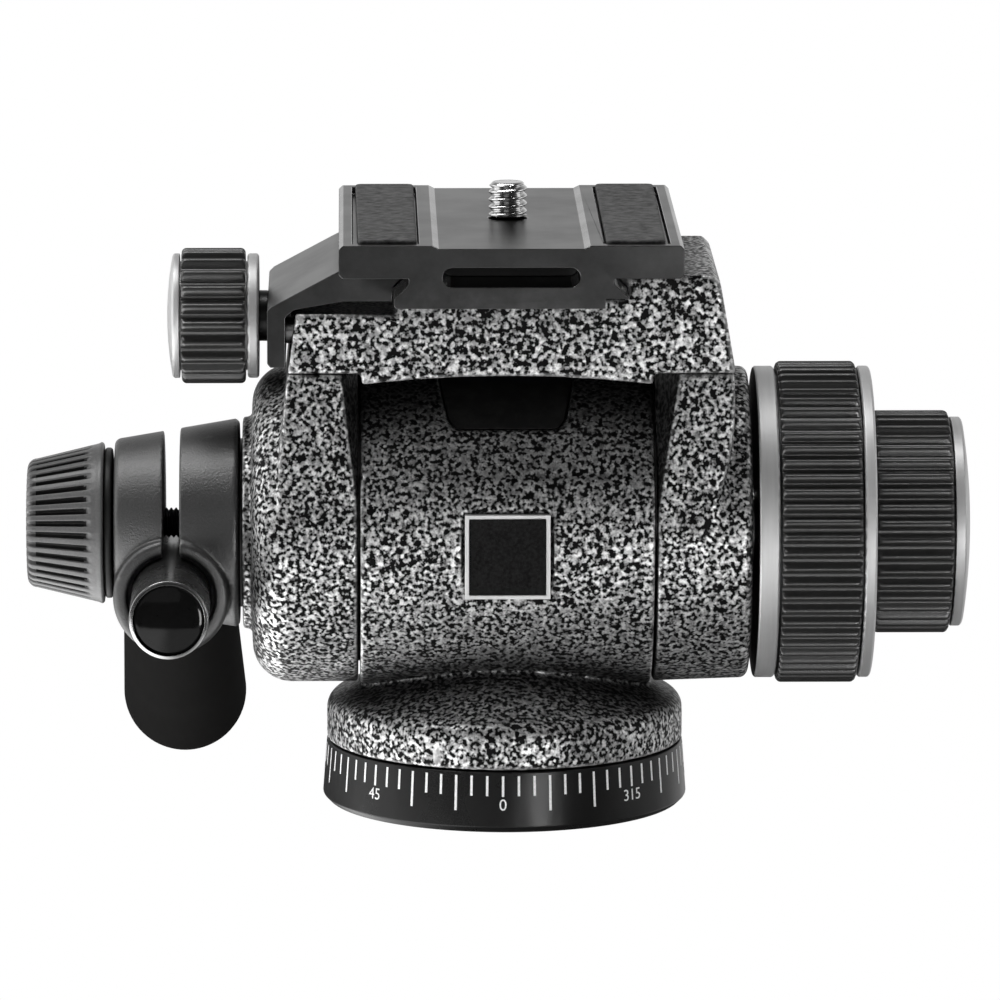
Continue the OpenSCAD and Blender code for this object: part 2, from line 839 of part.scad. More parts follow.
module tilt_lock_hub() {
    color(black) right_of(tilt_lock_x) difference() {
        cylinder(r = tilt_lock_r - rubber_t, h = tilt_hub_l);
        translate([0, 0, -over]) cylinder(r = axle_r + run, h = tilt_hub_l + over - 0.3);
    }
}

module tilt_lock_grip() {
    color(rubber) right_of(tilt_lock_x)
        ribbed_grip(tilt_lock_r, tilt_lock_r - rubber_t + fit, tilt_lock_w, tilt_lock_ribs, 0.66, 0.8);
}

// Cap with a slightly domed face, its crown in even steps
module domed_cap(outer_r, height, rise, edge) {
    steps = 9;
    crown_r = outer_r - edge;
    rotate_extrude()
        polygon(concat(
            [[0, 0], [outer_r, 0], [outer_r, height - rise - edge]],
            [for (i = [steps:-1:0]) [crown_r * i / steps, height - rise * pow(i / steps, 2)]]
        ));
}

module tilt_lock_cap() {
    color(bright) right_of(tilt_lock_x + tilt_hub_l) domed_cap(cap_r, cap_t, cap_rise, 0.3);
}

// Quick release

module clamp_jaw() {
    slope_low = plate_x - dovetail_x - jaw_clear;
    slope_high = slope_low + (neck_z - lip_z);
    leg_in_x = jaw_out_x + jaw_leg_t;
    under_z = shelf_top_z + 2;
    color(anodised) difference() {
        along_y(jaw_depth)
            polygon([
                [slope_high, jaw_top_z], [slope_high, neck_z], [slope_low, lip_z], [slope_low, under_z],
                [slope_low - jaw_flat, under_z], [leg_in_x + 1.4, shelf_top_z + 0.6],
                [leg_in_x, shelf_top_z - 0.6], [leg_in_x, seam_z + 1], [jaw_out_x + 0.5, seam_z + 1],
                [jaw_out_x, seam_z + 1.6], [jaw_out_x, shelf_top_z + 0.4],
                [jaw_out_x + 0.8, shelf_top_z + 1.2],
                [plate_x - plate_w / 2 - 1, jaw_top_z - 0.5], [plate_x - plate_w / 2, jaw_top_z]
            ]);
        hole_x(jaw_out_x - over, leg_in_x + over, 0, qr_z, qr_screw_r + run);
        hole_x(leg_in_x, leg_in_x + clip_t + 2 * over, 0, qr_z, clip_r + gap);
        for (y = [-guide_y, guide_y])
            hole_x(jaw_out_x + 1, leg_in_x + over, y, qr_z, guide_r + fit);
    }
}

module jaw_guide_pins() {
    color(steel)
        for (y = [-guide_y, guide_y])
            hole_x(jaw_out_x + 1, -column_x / 2 - 4, y, qr_z, guide_r);
}

module jaw_clip() {
    color(steel) translate([jaw_out_x + jaw_leg_t, 0, qr_z]) rotate([0, 90, 0])
        ring(clip_r, qr_screw_r + fit, clip_t);
}

module qr_screw() {
    color(black) {
        hole_x(qr_knob_x - qr_core_l + 1, -column_x / 2 - 1, 0, qr_z, qr_screw_r);
        hole_x(qr_knob_x, jaw_out_x, 0, qr_z, qr_stem_r);
    }
}

// Places a knob piece on the quick-release screw, with its own Z pointing to the left
module on_qr_screw(x) {
    translate([x, 0, qr_z]) rotate([0, -90, 0]) children();
}

module qr_knob_core() {
    color(bright) on_qr_screw(qr_knob_x) difference() {
        union() {
            cylinder(r = qr_knob_r - rubber_t, h = qr_core_l);
            chamfered_ring(qr_knob_r - 0.9, 0, qr_ring_w, 0.3);
        }
        translate([0, 0, -over]) cylinder(r = qr_screw_r + fit, h = over + qr_core_l - 0.8);
    }
}

module qr_knob_grip() {
    color(rubber) on_qr_screw(qr_knob_x - qr_ring_w - qr_groove)
        ribbed_grip(qr_knob_r, qr_knob_r - rubber_t + fit, qr_knob_w, qr_knob_ribs, 0.7, 0.7);
}

module qr_knob_cap() {
    color(bright) on_qr_screw(qr_knob_x - qr_core_l) domed_cap(qr_knob_r - 0.9, qr_cap_t, qr_cap_rise, 0.3);
}

// Camera plate

// Rounded slot in the plate's end faces
module plate_slot(depth) {
    slot_x = 11.1;
    slot_r = 1.55;
    slot_z = neck_z + 1.2;
    along_y(depth) translate([plate_x, slot_z]) union() {
        square([2 * (slot_x - slot_r), 2 * slot_r], center = true);
        for (side = [-1, 1])
            translate([side * (slot_x - slot_r), 0]) circle(r = slot_r);
    }
}

module camera_plate() {
    wing_x = plate_w / 2;
    channel_x = channel_w / 2;
    channel_d = 0.5;
    edge = 0.6;
    notch_x = neck_x - 1.4;
    slot_depth = 12;
    head_well_h = 3.6;
    color(anodised) difference() {
        translate([plate_x, 0, 0]) along_y(plate_l)
            polygon([
                [-dovetail_x + 0.4, plate_z], [notch_x, plate_z], [notch_x, lip_z + 0.1],
                [dovetail_x, lip_z + 0.1], [neck_x, neck_z + 0.1], [neck_x, wing_z],
                [wing_x - edge, wing_z], [wing_x, wing_z + edge], [wing_x, plate_top_z - edge],
                [wing_x - edge, plate_top_z], [channel_x, plate_top_z],
                [channel_x - 2 * channel_d, plate_top_z - channel_d],
                [-channel_x + 2 * channel_d, plate_top_z - channel_d], [-channel_x, plate_top_z],
                [-wing_x + edge, plate_top_z], [-wing_x, plate_top_z - edge],
                [-wing_x, wing_z + edge], [-wing_x + edge, wing_z], [-neck_x, wing_z],
                [-neck_x, neck_z], [-dovetail_x, lip_z], [-dovetail_x, plate_z + 0.4]
            ]);
        for (side = [-1, 1]) {
            translate([0, side * plate_l / 2, 0]) plate_slot(2 * slot_depth);
            pad_block(side, fit, -pad_sink, over + pad_sink);
        }
        translate([plate_x, 0, plate_z - over]) {
            cylinder(r = camera_screw_r + run, h = plate_h + 2 * over);
            cylinder(r = camera_head_r + gap, h = over + head_well_h);
        }
    }
}

// Block of one pad on the plate's land, from a height above the plate's top
module pad_block(side, extra, z, height) {
    mid_x = plate_x + side * (channel_w / 2 + plate_w / 2) / 2;
    pad_l = plate_l - 2 * pad_inset;
    translate([mid_x - pad_w / 2 - extra, -pad_l / 2 - extra, plate_top_z + z])
        cube([pad_w + 2 * extra, pad_l + 2 * extra, height]);
}

module left_pad() {
    color(rubber) pad_block(-1, 0, -pad_sink, pad_sink + pad_proud);
}

module right_pad() {
    color(rubber) pad_block(1, 0, -pad_sink, pad_sink + pad_proud);
}

module camera_screw() {
    head_z = plate_z + 0.5;
    head_h = 3;
    shank_r = camera_screw_r - 0.5;
    tip = 0.6;
    color(steel) translate([plate_x, 0, 0]) difference() {
        rotate_extrude()
            polygon([
                [0, head_z], [camera_head_r, head_z], [camera_head_r, head_z + head_h],
                [shank_r, head_z + head_h], [shank_r, plate_top_z], [camera_screw_r, plate_top_z],
                [camera_screw_r, plate_top_z + camera_screw_up - tip],
                [camera_screw_r - tip, plate_top_z + camera_screw_up], [0, plate_top_z + camera_screw_up]
            ]);
        translate([-0.8, -camera_head_r - over, head_z - over])
            cube([1.6, 2 * (camera_head_r + over), over + 1.5]);
    }
}

// Handle

module handle_clamp() {
    edge = 0.6;
    counterbore = 0.8;
    slot_reach = max(clamp_r, boss_y) + over;
    color(black) difference() {
        union() {
            left_of(clamp_x) rotate_extrude()
                polygon([
                    [0, 0], [clamp_r - edge, 0], [clamp_r, edge],
                    [clamp_tip_r, clamp_w - edge], [clamp_tip_r - edge, clamp_w], [0, clamp_w]
                ]);
            translate([handle_x, boss_y, handle_z]) rotate([90, 0, 0])
                chamfered_ring(boss_r, 0, 2 * boss_y, edge);
        }
        translate([handle_x, slot_reach, handle_z]) rotate([90, 0, 0])
            cylinder(r = bar_r + run, h = 2 * slot_reach);
        translate([handle_x, -boss_y + 1.6, handle_z]) rotate([90, 0, 0])
            cylinder(r = bar_r + run + counterbore, h = 1.6 + over);
        translate([handle_x - slot_w / 2, -slot_reach, handle_z])
            cube([slot_w, 2 * slot_reach, clamp_r + handle_drop + over]);
        hole_x(clamp_x - clamp_w - over, clamp_x + over, 0, tilt_z, stud_r + run);
    }
}

module clamp_collar() {
    color(black) left_of(collar_x) chamfered_ring(collar_r, stud_r + run, collar_t, 0.3);
}

module clamp_knob() {
    band = 2;
    tip_round = 1.4;
    flute_r = 0.55;
    lean = atan((clamp_knob_r - clamp_knob_tip_r) / clamp_knob_l);
    color([0.15, 0.15, 0.16]) left_of(knob_x) difference() {
        rotate_extrude()
            polygon([
                [0, 0], [clamp_knob_r - 0.4, 0], [clamp_knob_r, 0.4],
                [clamp_knob_tip_r, clamp_knob_l - tip_round],
                [clamp_knob_tip_r - tip_round, clamp_knob_l], [0, clamp_knob_l]
            ]);
        for (i = [0:clamp_knob_flutes - 1])
            rotate(i * 360 / clamp_knob_flutes)
                translate([clamp_knob_r - band * tan(lean), 0, band])
                    rotate([0, -lean, 0]) cylinder(r = flute_r, h = clamp_knob_l + over, $fn = 24);
        translate([0, 0, -over]) cylinder(r = insert_r + fit, h = over + insert_l + fit);
    }
}

module clamp_knob_insert() {
    color(bronze) left_of(knob_x) ring(insert_r, stud_r + run, insert_l);
}

// Places children at the end of the bar's bend, with their own Z along the bar
module past_bend() {
    translate([handle_x, bend_y + bend_r * sin(bar_bend), handle_z - bend_r * (1 - cos(bar_bend))])
        rotate([-90 - bar_bend, 0, 0]) children();
}

module handle_bar() {
    chamfer = 0.7;
    plug_l = 9;
    color(black) difference() {
        union() {
            translate([handle_x, bend_y, handle_z]) rotate([90, 0, 0])
                rotate_extrude()
                    polygon([
                        [0, 0], [bar_r, 0], [bar_r, bend_y - bar_front_y - chamfer],
                        [bar_r - chamfer, bend_y - bar_front_y], [0, bend_y - bar_front_y]
                    ]);
            translate([handle_x, bend_y, handle_z - bend_r]) rotate([0, -90, 0])
                rotate_extrude(angle = bar_bend) translate([bend_r, 0]) circle(r = bar_r);
            past_bend() translate([0, 0, -1]) cylinder(r = bar_rear_r, h = bar_l + 1);
        }
        translate([handle_x, bar_front_y + plug_l, handle_z]) rotate([90, 0, 0])
            cylinder(r = plug_r + fit, h = plug_l + over);
    }
}

module handle_plug() {
    plug_l = 8.6;
    color(black) translate([handle_x, bar_front_y + plug_l + 0.2, handle_z]) rotate([90, 0, 0])
        domed_cap(plug_r, plug_l, 0.5, 0.3);
}

module handle_grip() {
    start_r = grip_r - grip_taper * grip_l;
    bore_l = bar_l - grip_start;
    color(rubber) past_bend() translate([0, 0, grip_start]) difference() {
        rotate_extrude() difference() {
            union() {
                polygon([
                    [0, 0], [start_r - 1, 0], [start_r, 1], [grip_r, grip_l - grip_r], [0, grip_l - grip_r]
                ]);
                translate([0, grip_l - grip_r]) circle(r = grip_r);
            }
            translate([-2 * grip_r, -over]) square([2 * grip_r, 2 * grip_l]);
        }
        translate([0, 0, -over]) cylinder(r = bar_rear_r + fit, h = over + bore_l + fit);
    }
}

pan_dial();
tripod_bush();
pan_spindle();
base_screws();
pan_nut();
pan_spring_washer();
pan_drag_cup();
pan_thrust_washer();
pan_housing();
pan_bush();
pan_drag_drum();
top_cover();
badge_frame();
badge_plate();
tilt_axle();
tilt_drag_drum();
pan_brake_shoe();
left_cheek();
right_cheek();
platform();
platform_screws();
left_bush();
right_bush();
tilt_drag_cup();
tilt_brake_disc();
tilt_pressure_plate();
clamp_friction_ring();
clamp_stud();
pan_lock_hub();
pan_lock_grip();
pan_lock_inner_ring();
pan_lock_outer_ring();
pan_lock_sleeve();
tilt_lock_hub();
tilt_lock_grip();
tilt_lock_cap();
clamp_jaw();
jaw_guide_pins();
jaw_clip();
qr_screw();
qr_knob_core();
qr_knob_grip();
qr_knob_cap();
camera_plate();
left_pad();
right_pad();
camera_screw();
handle_clamp();
clamp_collar();
clamp_knob();
clamp_knob_insert();
handle_bar();
handle_plug();
handle_grip();
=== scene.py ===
import bpy
import bmesh
import json
import math
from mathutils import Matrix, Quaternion, Vector

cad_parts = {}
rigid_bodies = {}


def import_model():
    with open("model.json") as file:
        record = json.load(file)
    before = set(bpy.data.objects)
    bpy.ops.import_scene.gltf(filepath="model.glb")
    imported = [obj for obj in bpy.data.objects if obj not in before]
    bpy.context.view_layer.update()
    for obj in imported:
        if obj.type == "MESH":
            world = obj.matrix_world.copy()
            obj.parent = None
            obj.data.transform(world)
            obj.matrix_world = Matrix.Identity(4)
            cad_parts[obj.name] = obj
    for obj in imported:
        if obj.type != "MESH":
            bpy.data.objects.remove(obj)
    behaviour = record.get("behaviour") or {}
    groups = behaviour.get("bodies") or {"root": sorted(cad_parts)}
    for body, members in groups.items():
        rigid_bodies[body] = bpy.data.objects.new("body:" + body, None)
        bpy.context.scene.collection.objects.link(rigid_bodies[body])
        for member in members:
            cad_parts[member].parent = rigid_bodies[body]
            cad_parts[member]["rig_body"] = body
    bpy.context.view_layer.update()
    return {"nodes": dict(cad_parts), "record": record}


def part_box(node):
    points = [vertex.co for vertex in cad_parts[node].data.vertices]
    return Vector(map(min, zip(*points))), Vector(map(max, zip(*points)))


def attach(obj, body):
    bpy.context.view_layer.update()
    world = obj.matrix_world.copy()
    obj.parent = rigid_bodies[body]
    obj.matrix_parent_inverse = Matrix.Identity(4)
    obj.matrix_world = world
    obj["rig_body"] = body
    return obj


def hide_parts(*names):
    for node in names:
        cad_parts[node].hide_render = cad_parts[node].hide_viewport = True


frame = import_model()
nodes = frame["nodes"]
mm = 0.001
print("frame loaded:", len(nodes), "nodes")


# Shared helpers

def addNode(tree, kind, inputs=None, **settings):
    made = tree.nodes.new(kind)
    for key, value in settings.items():
        setattr(made, key, value)
    for key, value in (inputs or {}).items():
        if isinstance(value, bpy.types.NodeSocket):
            tree.links.new(value, made.inputs[key])
        else:
            made.inputs[key].default_value = value
    return made


def startGroup(name, inputs, outputs):
    tree = bpy.data.node_groups.new(name, "ShaderNodeTree")
    for label, value in inputs.items():
        isVector = isinstance(value, tuple)
        kind = "NodeSocketVector" if isVector else "NodeSocketFloat"
        tree.interface.new_socket(label, in_out="INPUT", socket_type=kind).default_value = value
    for label in outputs:
        tree.interface.new_socket(label, in_out="OUTPUT", socket_type="NodeSocketFloat")
    return tree, tree.nodes.new("NodeGroupInput").outputs, tree.nodes.new("NodeGroupOutput").inputs


def math2(tree, operation, a, b):
    return addNode(tree, "ShaderNodeMath", {0: a, 1: b}, operation=operation).outputs[0]


def remap(tree, value, fromLow, fromHigh, toLow=0.0, toHigh=1.0):
    sockets = {"Value": value, "From Min": fromLow, "From Max": fromHigh, "To Min": toLow, "To Max": toHigh}
    return addNode(tree, "ShaderNodeMapRange", sockets).outputs["Result"]


def objectNoise(tree, scale, detail, roughness=0.5, stretch=None):
    point = addNode(tree, "ShaderNodeTexCoord").outputs["Object"]
    if stretch is not None:
        stretched = addNode(tree, "ShaderNodeVectorMath", {0: point, 1: stretch}, operation="MULTIPLY")
        point = stretched.outputs[0]
    sockets = {"Vector": point, "Scale": scale, "Detail": detail, "Roughness": roughness}
    return addNode(tree, "ShaderNodeTexNoise", sockets).outputs[0]


# Shader groups that several finishes share

mostNoise, wideNoise = (0.35, 0.65), (0.3, 0.7)  # the values that most of a noise lies between
speckleShape = {"flakeScale": 0.6, "flakeBand": (0.36, 0.62)}  # flakes are coarser than the worms


def makeSpeckleGroup():
    inputs = {"Scale": 700.0, "Cut": 0.5, "Edge": 0.03, "Spark": 0.5}
    tree, given, out = startGroup("wormSpeckle", inputs, ["Mask", "Height", "Value"])
    worms = objectNoise(tree, given["Scale"], detail=1.2, roughness=0.4)
    flakeScale = math2(tree, "MULTIPLY", given["Scale"], speckleShape["flakeScale"])
    flakes = objectNoise(tree, flakeScale, detail=2.0, roughness=0.6)
    tree.links.new(remap(tree, flakes, *speckleShape["flakeBand"], given["Spark"], 1.0), out["Value"])
    low = math2(tree, "SUBTRACT", given["Cut"], given["Edge"])
    high = math2(tree, "ADD", given["Cut"], given["Edge"])
    tree.links.new(remap(tree, worms, low, high), out["Mask"])
    tree.links.new(remap(tree, worms, *mostNoise), out["Height"])
    return tree


def makeGrainGroup():
    tree, given, out = startGroup("fineGrain", {"Scale": 2500.0}, ["Height", "Value"])
    fine = objectNoise(tree, given["Scale"], detail=3.0, roughness=0.6)
    tree.links.new(fine, out["Height"])
    tree.links.new(remap(tree, fine, *wideNoise), out["Value"])
    return tree


def makeMottleGroup():
    tree, given, out = startGroup("handlingMottle", {"Scale": 60.0, "Low": 0.4, "High": 0.5}, ["Value"])
    soft = objectNoise(tree, given["Scale"], detail=4.0, roughness=0.55)
    tree.links.new(remap(tree, soft, *mostNoise, given["Low"], given["High"]), out["Value"])
    return tree


def makeLinesGroup():
    inputs = {"Scale": 900.0, "Stretch": (1.0, 0.02, 1.0)}
    tree, given, out = startGroup("brushedLines", inputs, ["Height", "Value"])
    lines = objectNoise(tree, given["Scale"], detail=3.0, roughness=0.6, stretch=given["Stretch"])
    tree.links.new(lines, out["Height"])
    tree.links.new(remap(tree, lines, *wideNoise), out["Value"])
    return tree


wearShape = {"patch": 300.0, "creaseShade": (0.485, 0.44)}  # crease shade: pointiness where the painted shade in a crease starts and is full


# edge wear on convex edges, and a painted shade mask for concave creases
def makeWearGroup():
    inputs = {"Start": 0.53, "Full": 0.6, "Amount": 0.6}
    tree, given, out = startGroup("edgeWearAndCreaseShade", inputs, ["Mask", "CreaseShade"])
    point = addNode(tree, "ShaderNodeNewGeometry").outputs["Pointiness"]
    edge = remap(tree, point, given["Start"], given["Full"])
    patch = remap(tree, objectNoise(tree, wearShape["patch"], detail=3.0), *mostNoise)
    worn = math2(tree, "MULTIPLY", edge, patch)
    tree.links.new(math2(tree, "MULTIPLY", worn, given["Amount"]), out["Mask"])
    tree.links.new(remap(tree, point, *wearShape["creaseShade"], 0.0, given["Amount"]), out["CreaseShade"])
    return tree


dustShape = {"patch": 420.0, "band": (0.45, 0.7), "facing": (0.2, 1.0)}  # facing: upward part of the normal


def makeDustGroup():
    tree, given, out = startGroup("settledDust", {"Amount": 0.1}, ["Mask"])
    normal = addNode(tree, "ShaderNodeNewGeometry").outputs["Normal"]
    up = addNode(tree, "ShaderNodeSeparateXYZ", {0: normal}).outputs["Z"]
    facing = remap(tree, up, *dustShape["facing"])
    patch = objectNoise(tree, dustShape["patch"], detail=5.0, roughness=0.7)
    lying = math2(tree, "MULTIPLY", facing, remap(tree, patch, *dustShape["band"]))
    tree.links.new(math2(tree, "MULTIPLY", lying, given["Amount"]), out["Mask"])
    return tree


# painted shade: darkens the colour where ambient occlusion finds the surface sheltered, in crevices, under
# overhangs and between parts
def makeGrimeGroup():
    inputs = {"Reach": 0.012, "Open": 0.85, "Closed": 0.35, "Amount": 0.8}
    tree, given, out = startGroup("creviceShade", inputs, ["Mask"])
    shelter = addNode(tree, "ShaderNodeAmbientOcclusion", {"Distance": given["Reach"]}, samples=6)
    dirt = remap(tree, shelter.outputs["AO"], given["Closed"], given["Open"], given["Amount"], 0.0)
    tree.links.new(dirt, out["Mask"])
    return tree


groups = {
    "speckle": makeSpeckleGroup(),
    "grain": makeGrainGroup(),
    "mottle": makeMottleGroup(),
    "lines": makeLinesGroup(),
    "wear": makeWearGroup(),
    "dust": makeDustGroup(),
    "paintedShade": makeGrimeGroup(),
}
print("shader groups:", ", ".join(groups))


# Finishes

def startMaterial(name, **constants):
    material = bpy.data.materials.new(name)
    material.use_nodes = True
    tree = material.node_tree
    shader = tree.nodes["Principled BSDF"]
    for label, value in constants.items():
        shader.inputs[label.replace("_", " ")].default_value = value
    return material, tree, shader


def useGroup(tree, name, **values):
    placed = addNode(tree, "ShaderNodeGroup", node_tree=groups[name])
    for label, value in values.items():
        placed.inputs[label].default_value = value
    return placed.outputs


def blendColours(tree, mask, first, second):
    mixed = addNode(tree, "ShaderNodeMix", {"Factor": mask}, data_type="RGBA")
    for socket, value in zip(mixed.inputs[6:8], (first, second)):  # the node's two colour sockets
        if isinstance(value, bpy.types.NodeSocket):
            tree.links.new(value, socket)
        else:
            socket.default_value = (*value, 1.0)
    return mixed.outputs[2]


def addBump(tree, shader, height, strength, depth):
    sockets = {"Height": height, "Strength": strength, "Distance": depth}
    normal = addNode(tree, "ShaderNodeBump", sockets).outputs[0]
    tree.links.new(normal, shader.inputs["Normal"])


def grey(level, warmth=0.0):
    return (level * (1 + warmth), level, level * (1 - warmth))


speckleLook = {
    "scale": 1450.0, "cut": 0.53, "edge": 0.1, "spark": 0.4,  # worms about 0.5 mm wide
    # the next line sets painted shade: its reach and amount in crevices, and how dark faces that look at the
    # column get
    "reach": 0.012, "paintedShade": 0.8, "inner": 0.9, "inward": (-0.4, -0.75),
    # edge wear and painted rim highlight: how strongly convex edges lighten, and the pointiness where that
    # starts and is full
    "wear": 0.7, "wearAndHighlightStart": 0.515, "wearAndHighlightFull": 0.56,
    "dark": grey(0.002), "light": grey(0.85), "metallic": 0.9, "gloss": 0.08,
    "rough": (0.38, 0.46), "mottle": 90.0, "bump": 0.25, "bumpDepth": 0.00012,
    "dust": 0.02, "dustColour": grey(0.5, 0.02),
}


def speckledPaint():
    look = speckleLook
    material, tree, shader = startMaterial("speckledPaint", Specular_IOR_Level=look["gloss"])
    sizes = {"Scale": look["scale"], "Cut": look["cut"], "Edge": look["edge"], "Spark": look["spark"]}
    speckle = useGroup(tree, "speckle", **sizes)
    mottle = useGroup(tree, "mottle", Scale=look["mottle"], Low=look["rough"][0], High=look["rough"][1])
    flake = math2(tree, "MULTIPLY", speckle["Mask"], speckle["Value"])
    colour = blendColours(tree, flake, look["dark"], look["light"])
    dust = useGroup(tree, "dust", Amount=look["dust"])
    colour = blendColours(tree, dust["Mask"], colour, look["dustColour"])
    # painted shade in crevices and under overhangs
    paintedShade = useGroup(tree, "paintedShade", Reach=look["reach"], Amount=look["paintedShade"])
    # edge wear and painted rim highlight: convex edges lighten to the light flake colour
    edges = useGroup(tree, "wear", Start=look["wearAndHighlightStart"], Full=look["wearAndHighlightFull"], Amount=look["wear"])
    colour = blendColours(tree, edges["Mask"], colour, look["light"])
    # painted shade on the faces that look at the column, darker the more they turn to it
    where = addNode(tree, "ShaderNodeTexCoord").outputs
    side = addNode(tree, "ShaderNodeSeparateXYZ", {0: where["Object"]}).outputs["X"]
    lean = addNode(tree, "ShaderNodeSeparateXYZ", {0: where["Normal"]}).outputs["X"]
    inward = math2(tree, "MULTIPLY", math2(tree, "SIGN", side, 0.0), lean)  # faces that look at the column, which get painted shade
    shade = math2(tree, "MAXIMUM", paintedShade["Mask"], edges["CreaseShade"])
    shade = math2(tree, "MAXIMUM", shade, remap(tree, inward, *look["inward"], 0.0, look["inner"]))
    colour = blendColours(tree, shade, colour, look["dark"])
    tree.links.new(colour, shader.inputs["Base Color"])
    tree.links.new(mottle["Value"], shader.inputs["Roughness"])
    metal = math2(tree, "MULTIPLY", speckle["Mask"], look["metallic"])
    tree.links.new(metal, shader.inputs["Metallic"])
    addBump(tree, shader, speckle["Height"], look["bump"], look["bumpDepth"])
    return material


darkUsual = {  # what a dark finish has unless its own look says otherwise
    "gloss": 0.25, "vary": 1.35, "mottle": 70.0, "bumpDepth": 0.0001,
    # the last colour is the painted shade's
    "dust": 0.04, "dustColour": grey(0.4, 0.03), "paintedShadeColour": grey(0.002),
}


def darkFinish(name, given):
    look = {**darkUsual, **given}
    material, tree, shader = startMaterial(name, Specular_IOR_Level=look["gloss"])
    grain = useGroup(tree, "grain", Scale=look["grain"])
    shade = tuple(look["vary"] * c for c in look["colour"])
    base = blendColours(tree, grain["Value"], look["colour"], shade)
    worn = useGroup(tree, "wear", Amount=look["wear"])
    base = blendColours(tree, worn["Mask"], base, look["worn"])
    dust = useGroup(tree, "dust", Amount=look["dust"])
    base = blendColours(tree, dust["Mask"], base, look["dustColour"])
    # painted shade: darker in crevices and around the parts close by
    if "paintedShade" in look:
        paintedShade = useGroup(tree, "paintedShade", Amount=look["paintedShade"])
        base = blendColours(tree, paintedShade["Mask"], base, look["paintedShadeColour"])
    tree.links.new(base, shader.inputs["Base Color"])
    mottle = useGroup(tree, "mottle", Scale=look["mottle"], Low=look["rough"][0], High=look["rough"][1])
    tree.links.new(mottle["Value"], shader.inputs["Roughness"])
    addBump(tree, shader, grain["Height"], look["bump"], look["bumpDepth"])
    return material


metalUsual = {  # what a metal has unless its own look says otherwise
    "metallic": 1.0, "lines": 900.0, "dull": 0.88, "wear": 0.35, "lift": (1.5, 0.05),
    "mottle": 80.0, "bump": 0.15, "bumpDepth": 0.00004,
}


def brushedFinish(name, given):
    look = {**metalUsual, **given}
    material, tree, shader = startMaterial(name, Metallic=look["metallic"])
    lines = useGroup(tree, "lines", Scale=look["lines"], Stretch=look["stretch"])
    dull = tuple(look["dull"] * c for c in look["colour"])
    base = blendColours(tree, lines["Value"], dull, look["colour"])
    worn = useGroup(tree, "wear", Amount=look["wear"])
    gain, rise = look["lift"]
    lifted = tuple(min(1.0, gain * c + rise) for c in look["colour"])
    tree.links.new(blendColours(tree, worn["Mask"], base, lifted), shader.inputs["Base Color"])
    mottle = useGroup(tree, "mottle", Scale=look["mottle"], Low=look["rough"][0], High=look["rough"][1])
    tree.links.new(mottle["Value"], shader.inputs["Roughness"])
    addBump(tree, shader, lines["Height"], look["bump"], look["bumpDepth"])
    return material


darkLooks = {
    # the clamp paint gets painted shade in its crevices and around the bar's boss
    "blackPaint": {"colour": grey(0.03), "worn": grey(0.12), "rough": (0.32, 0.42), "grain": 3000.0,
                   "bump": 0.8, "wear": 0.7, "gloss": 1.0, "paintedShade": 0.85},
    "dialBlack": {"colour": grey(0.006), "worn": grey(0.14), "rough": (0.26, 0.32), "grain": 4000.0,
                  "bump": 0.08, "wear": 0.6},
    "gripRubber": {"colour": grey(0.014, 0.02), "worn": grey(0.09), "rough": (0.28, 0.36), "grain": 2600.0,
                   "bump": 0.3, "wear": 0.5, "gloss": 1.0},
    "handleRubber": {"colour": grey(0.004, 0.04), "worn": grey(0.05), "rough": (0.85, 0.92), "grain": 3000.0,
                     "bump": 0.4, "wear": 0.2, "gloss": 0.05},
    "padRubber": {"colour": grey(0.02), "worn": grey(0.1), "rough": (0.62, 0.74), "grain": 600.0,
                  "vary": 6.0, "bump": 1.0, "bumpDepth": 0.0003, "wear": 0.3},
    "knobPlastic": {"colour": grey(0.085), "worn": grey(0.2), "rough": (0.32, 0.4), "grain": 2600.0,
                    "bump": 0.3, "wear": 0.5, "gloss": 0.5},
    "blackPlastic": {"colour": grey(0.01), "worn": grey(0.05), "rough": (0.36, 0.46), "grain": 2600.0,
                     "bump": 0.2, "wear": 0.4},
    "badgeBlack": {"colour": grey(0.001), "worn": grey(0.02), "rough": (0.42, 0.52), "grain": 2200.0,
                   "vary": 14.0, "bump": 0.8, "wear": 0.2, "gloss": 0.06},
    "plugPlastic": {"colour": grey(0.004), "worn": grey(0.03), "rough": (0.06, 0.1), "grain": 900.0,
                    "bump": 0.02, "wear": 0.1, "dust": 0.01, "gloss": 0.15},
    "slidePlastic": {"colour": grey(0.6, 0.02), "worn": grey(0.7), "rough": (0.4, 0.5), "grain": 2000.0,
                     "bump": 0.2, "wear": 0.2},
    "scaleInk": {"colour": grey(0.75), "worn": grey(0.5), "rough": (0.45, 0.55), "grain": 3000.0,
                 "bump": 0.1, "wear": 0.2},
}
alongX, alongY = (0.03, 1.0, 1.0), (1.0, 0.02, 1.0)  # the way that brushed lines run
aroundX, alongZ = (1.0, 0.06, 0.06), (1.0, 1.0, 0.2)
metalLooks = {
    "anodised": {"colour": grey(0.075), "rough": (0.28, 0.33), "stretch": alongY},
    "brightMetal": {"colour": grey(0.65), "rough": (0.44, 0.52), "stretch": aroundX, "metallic": 0.65},
    # the turned finish serves the bar's real chamfer and the plate's painted step highlight
    "turnedRim": {"colour": grey(0.42), "rough": (0.2, 0.28), "stretch": alongX},
    "steel": {"colour": grey(0.5), "rough": (0.25, 0.35), "stretch": alongX},
    "zincSteel": {"colour": grey(0.78), "rough": (0.1, 0.18), "stretch": alongZ, "lines": 500.0},
    "blackSteel": {"colour": grey(0.05), "rough": (0.3, 0.42), "stretch": alongX},
    "bronze": {"colour": (0.6, 0.42, 0.2), "rough": (0.3, 0.4), "stretch": alongX},
    "barBlack": {"colour": grey(0.16), "rough": (0.24, 0.32), "stretch": alongY},
}
finishes = {"speckledPaint": speckledPaint()}
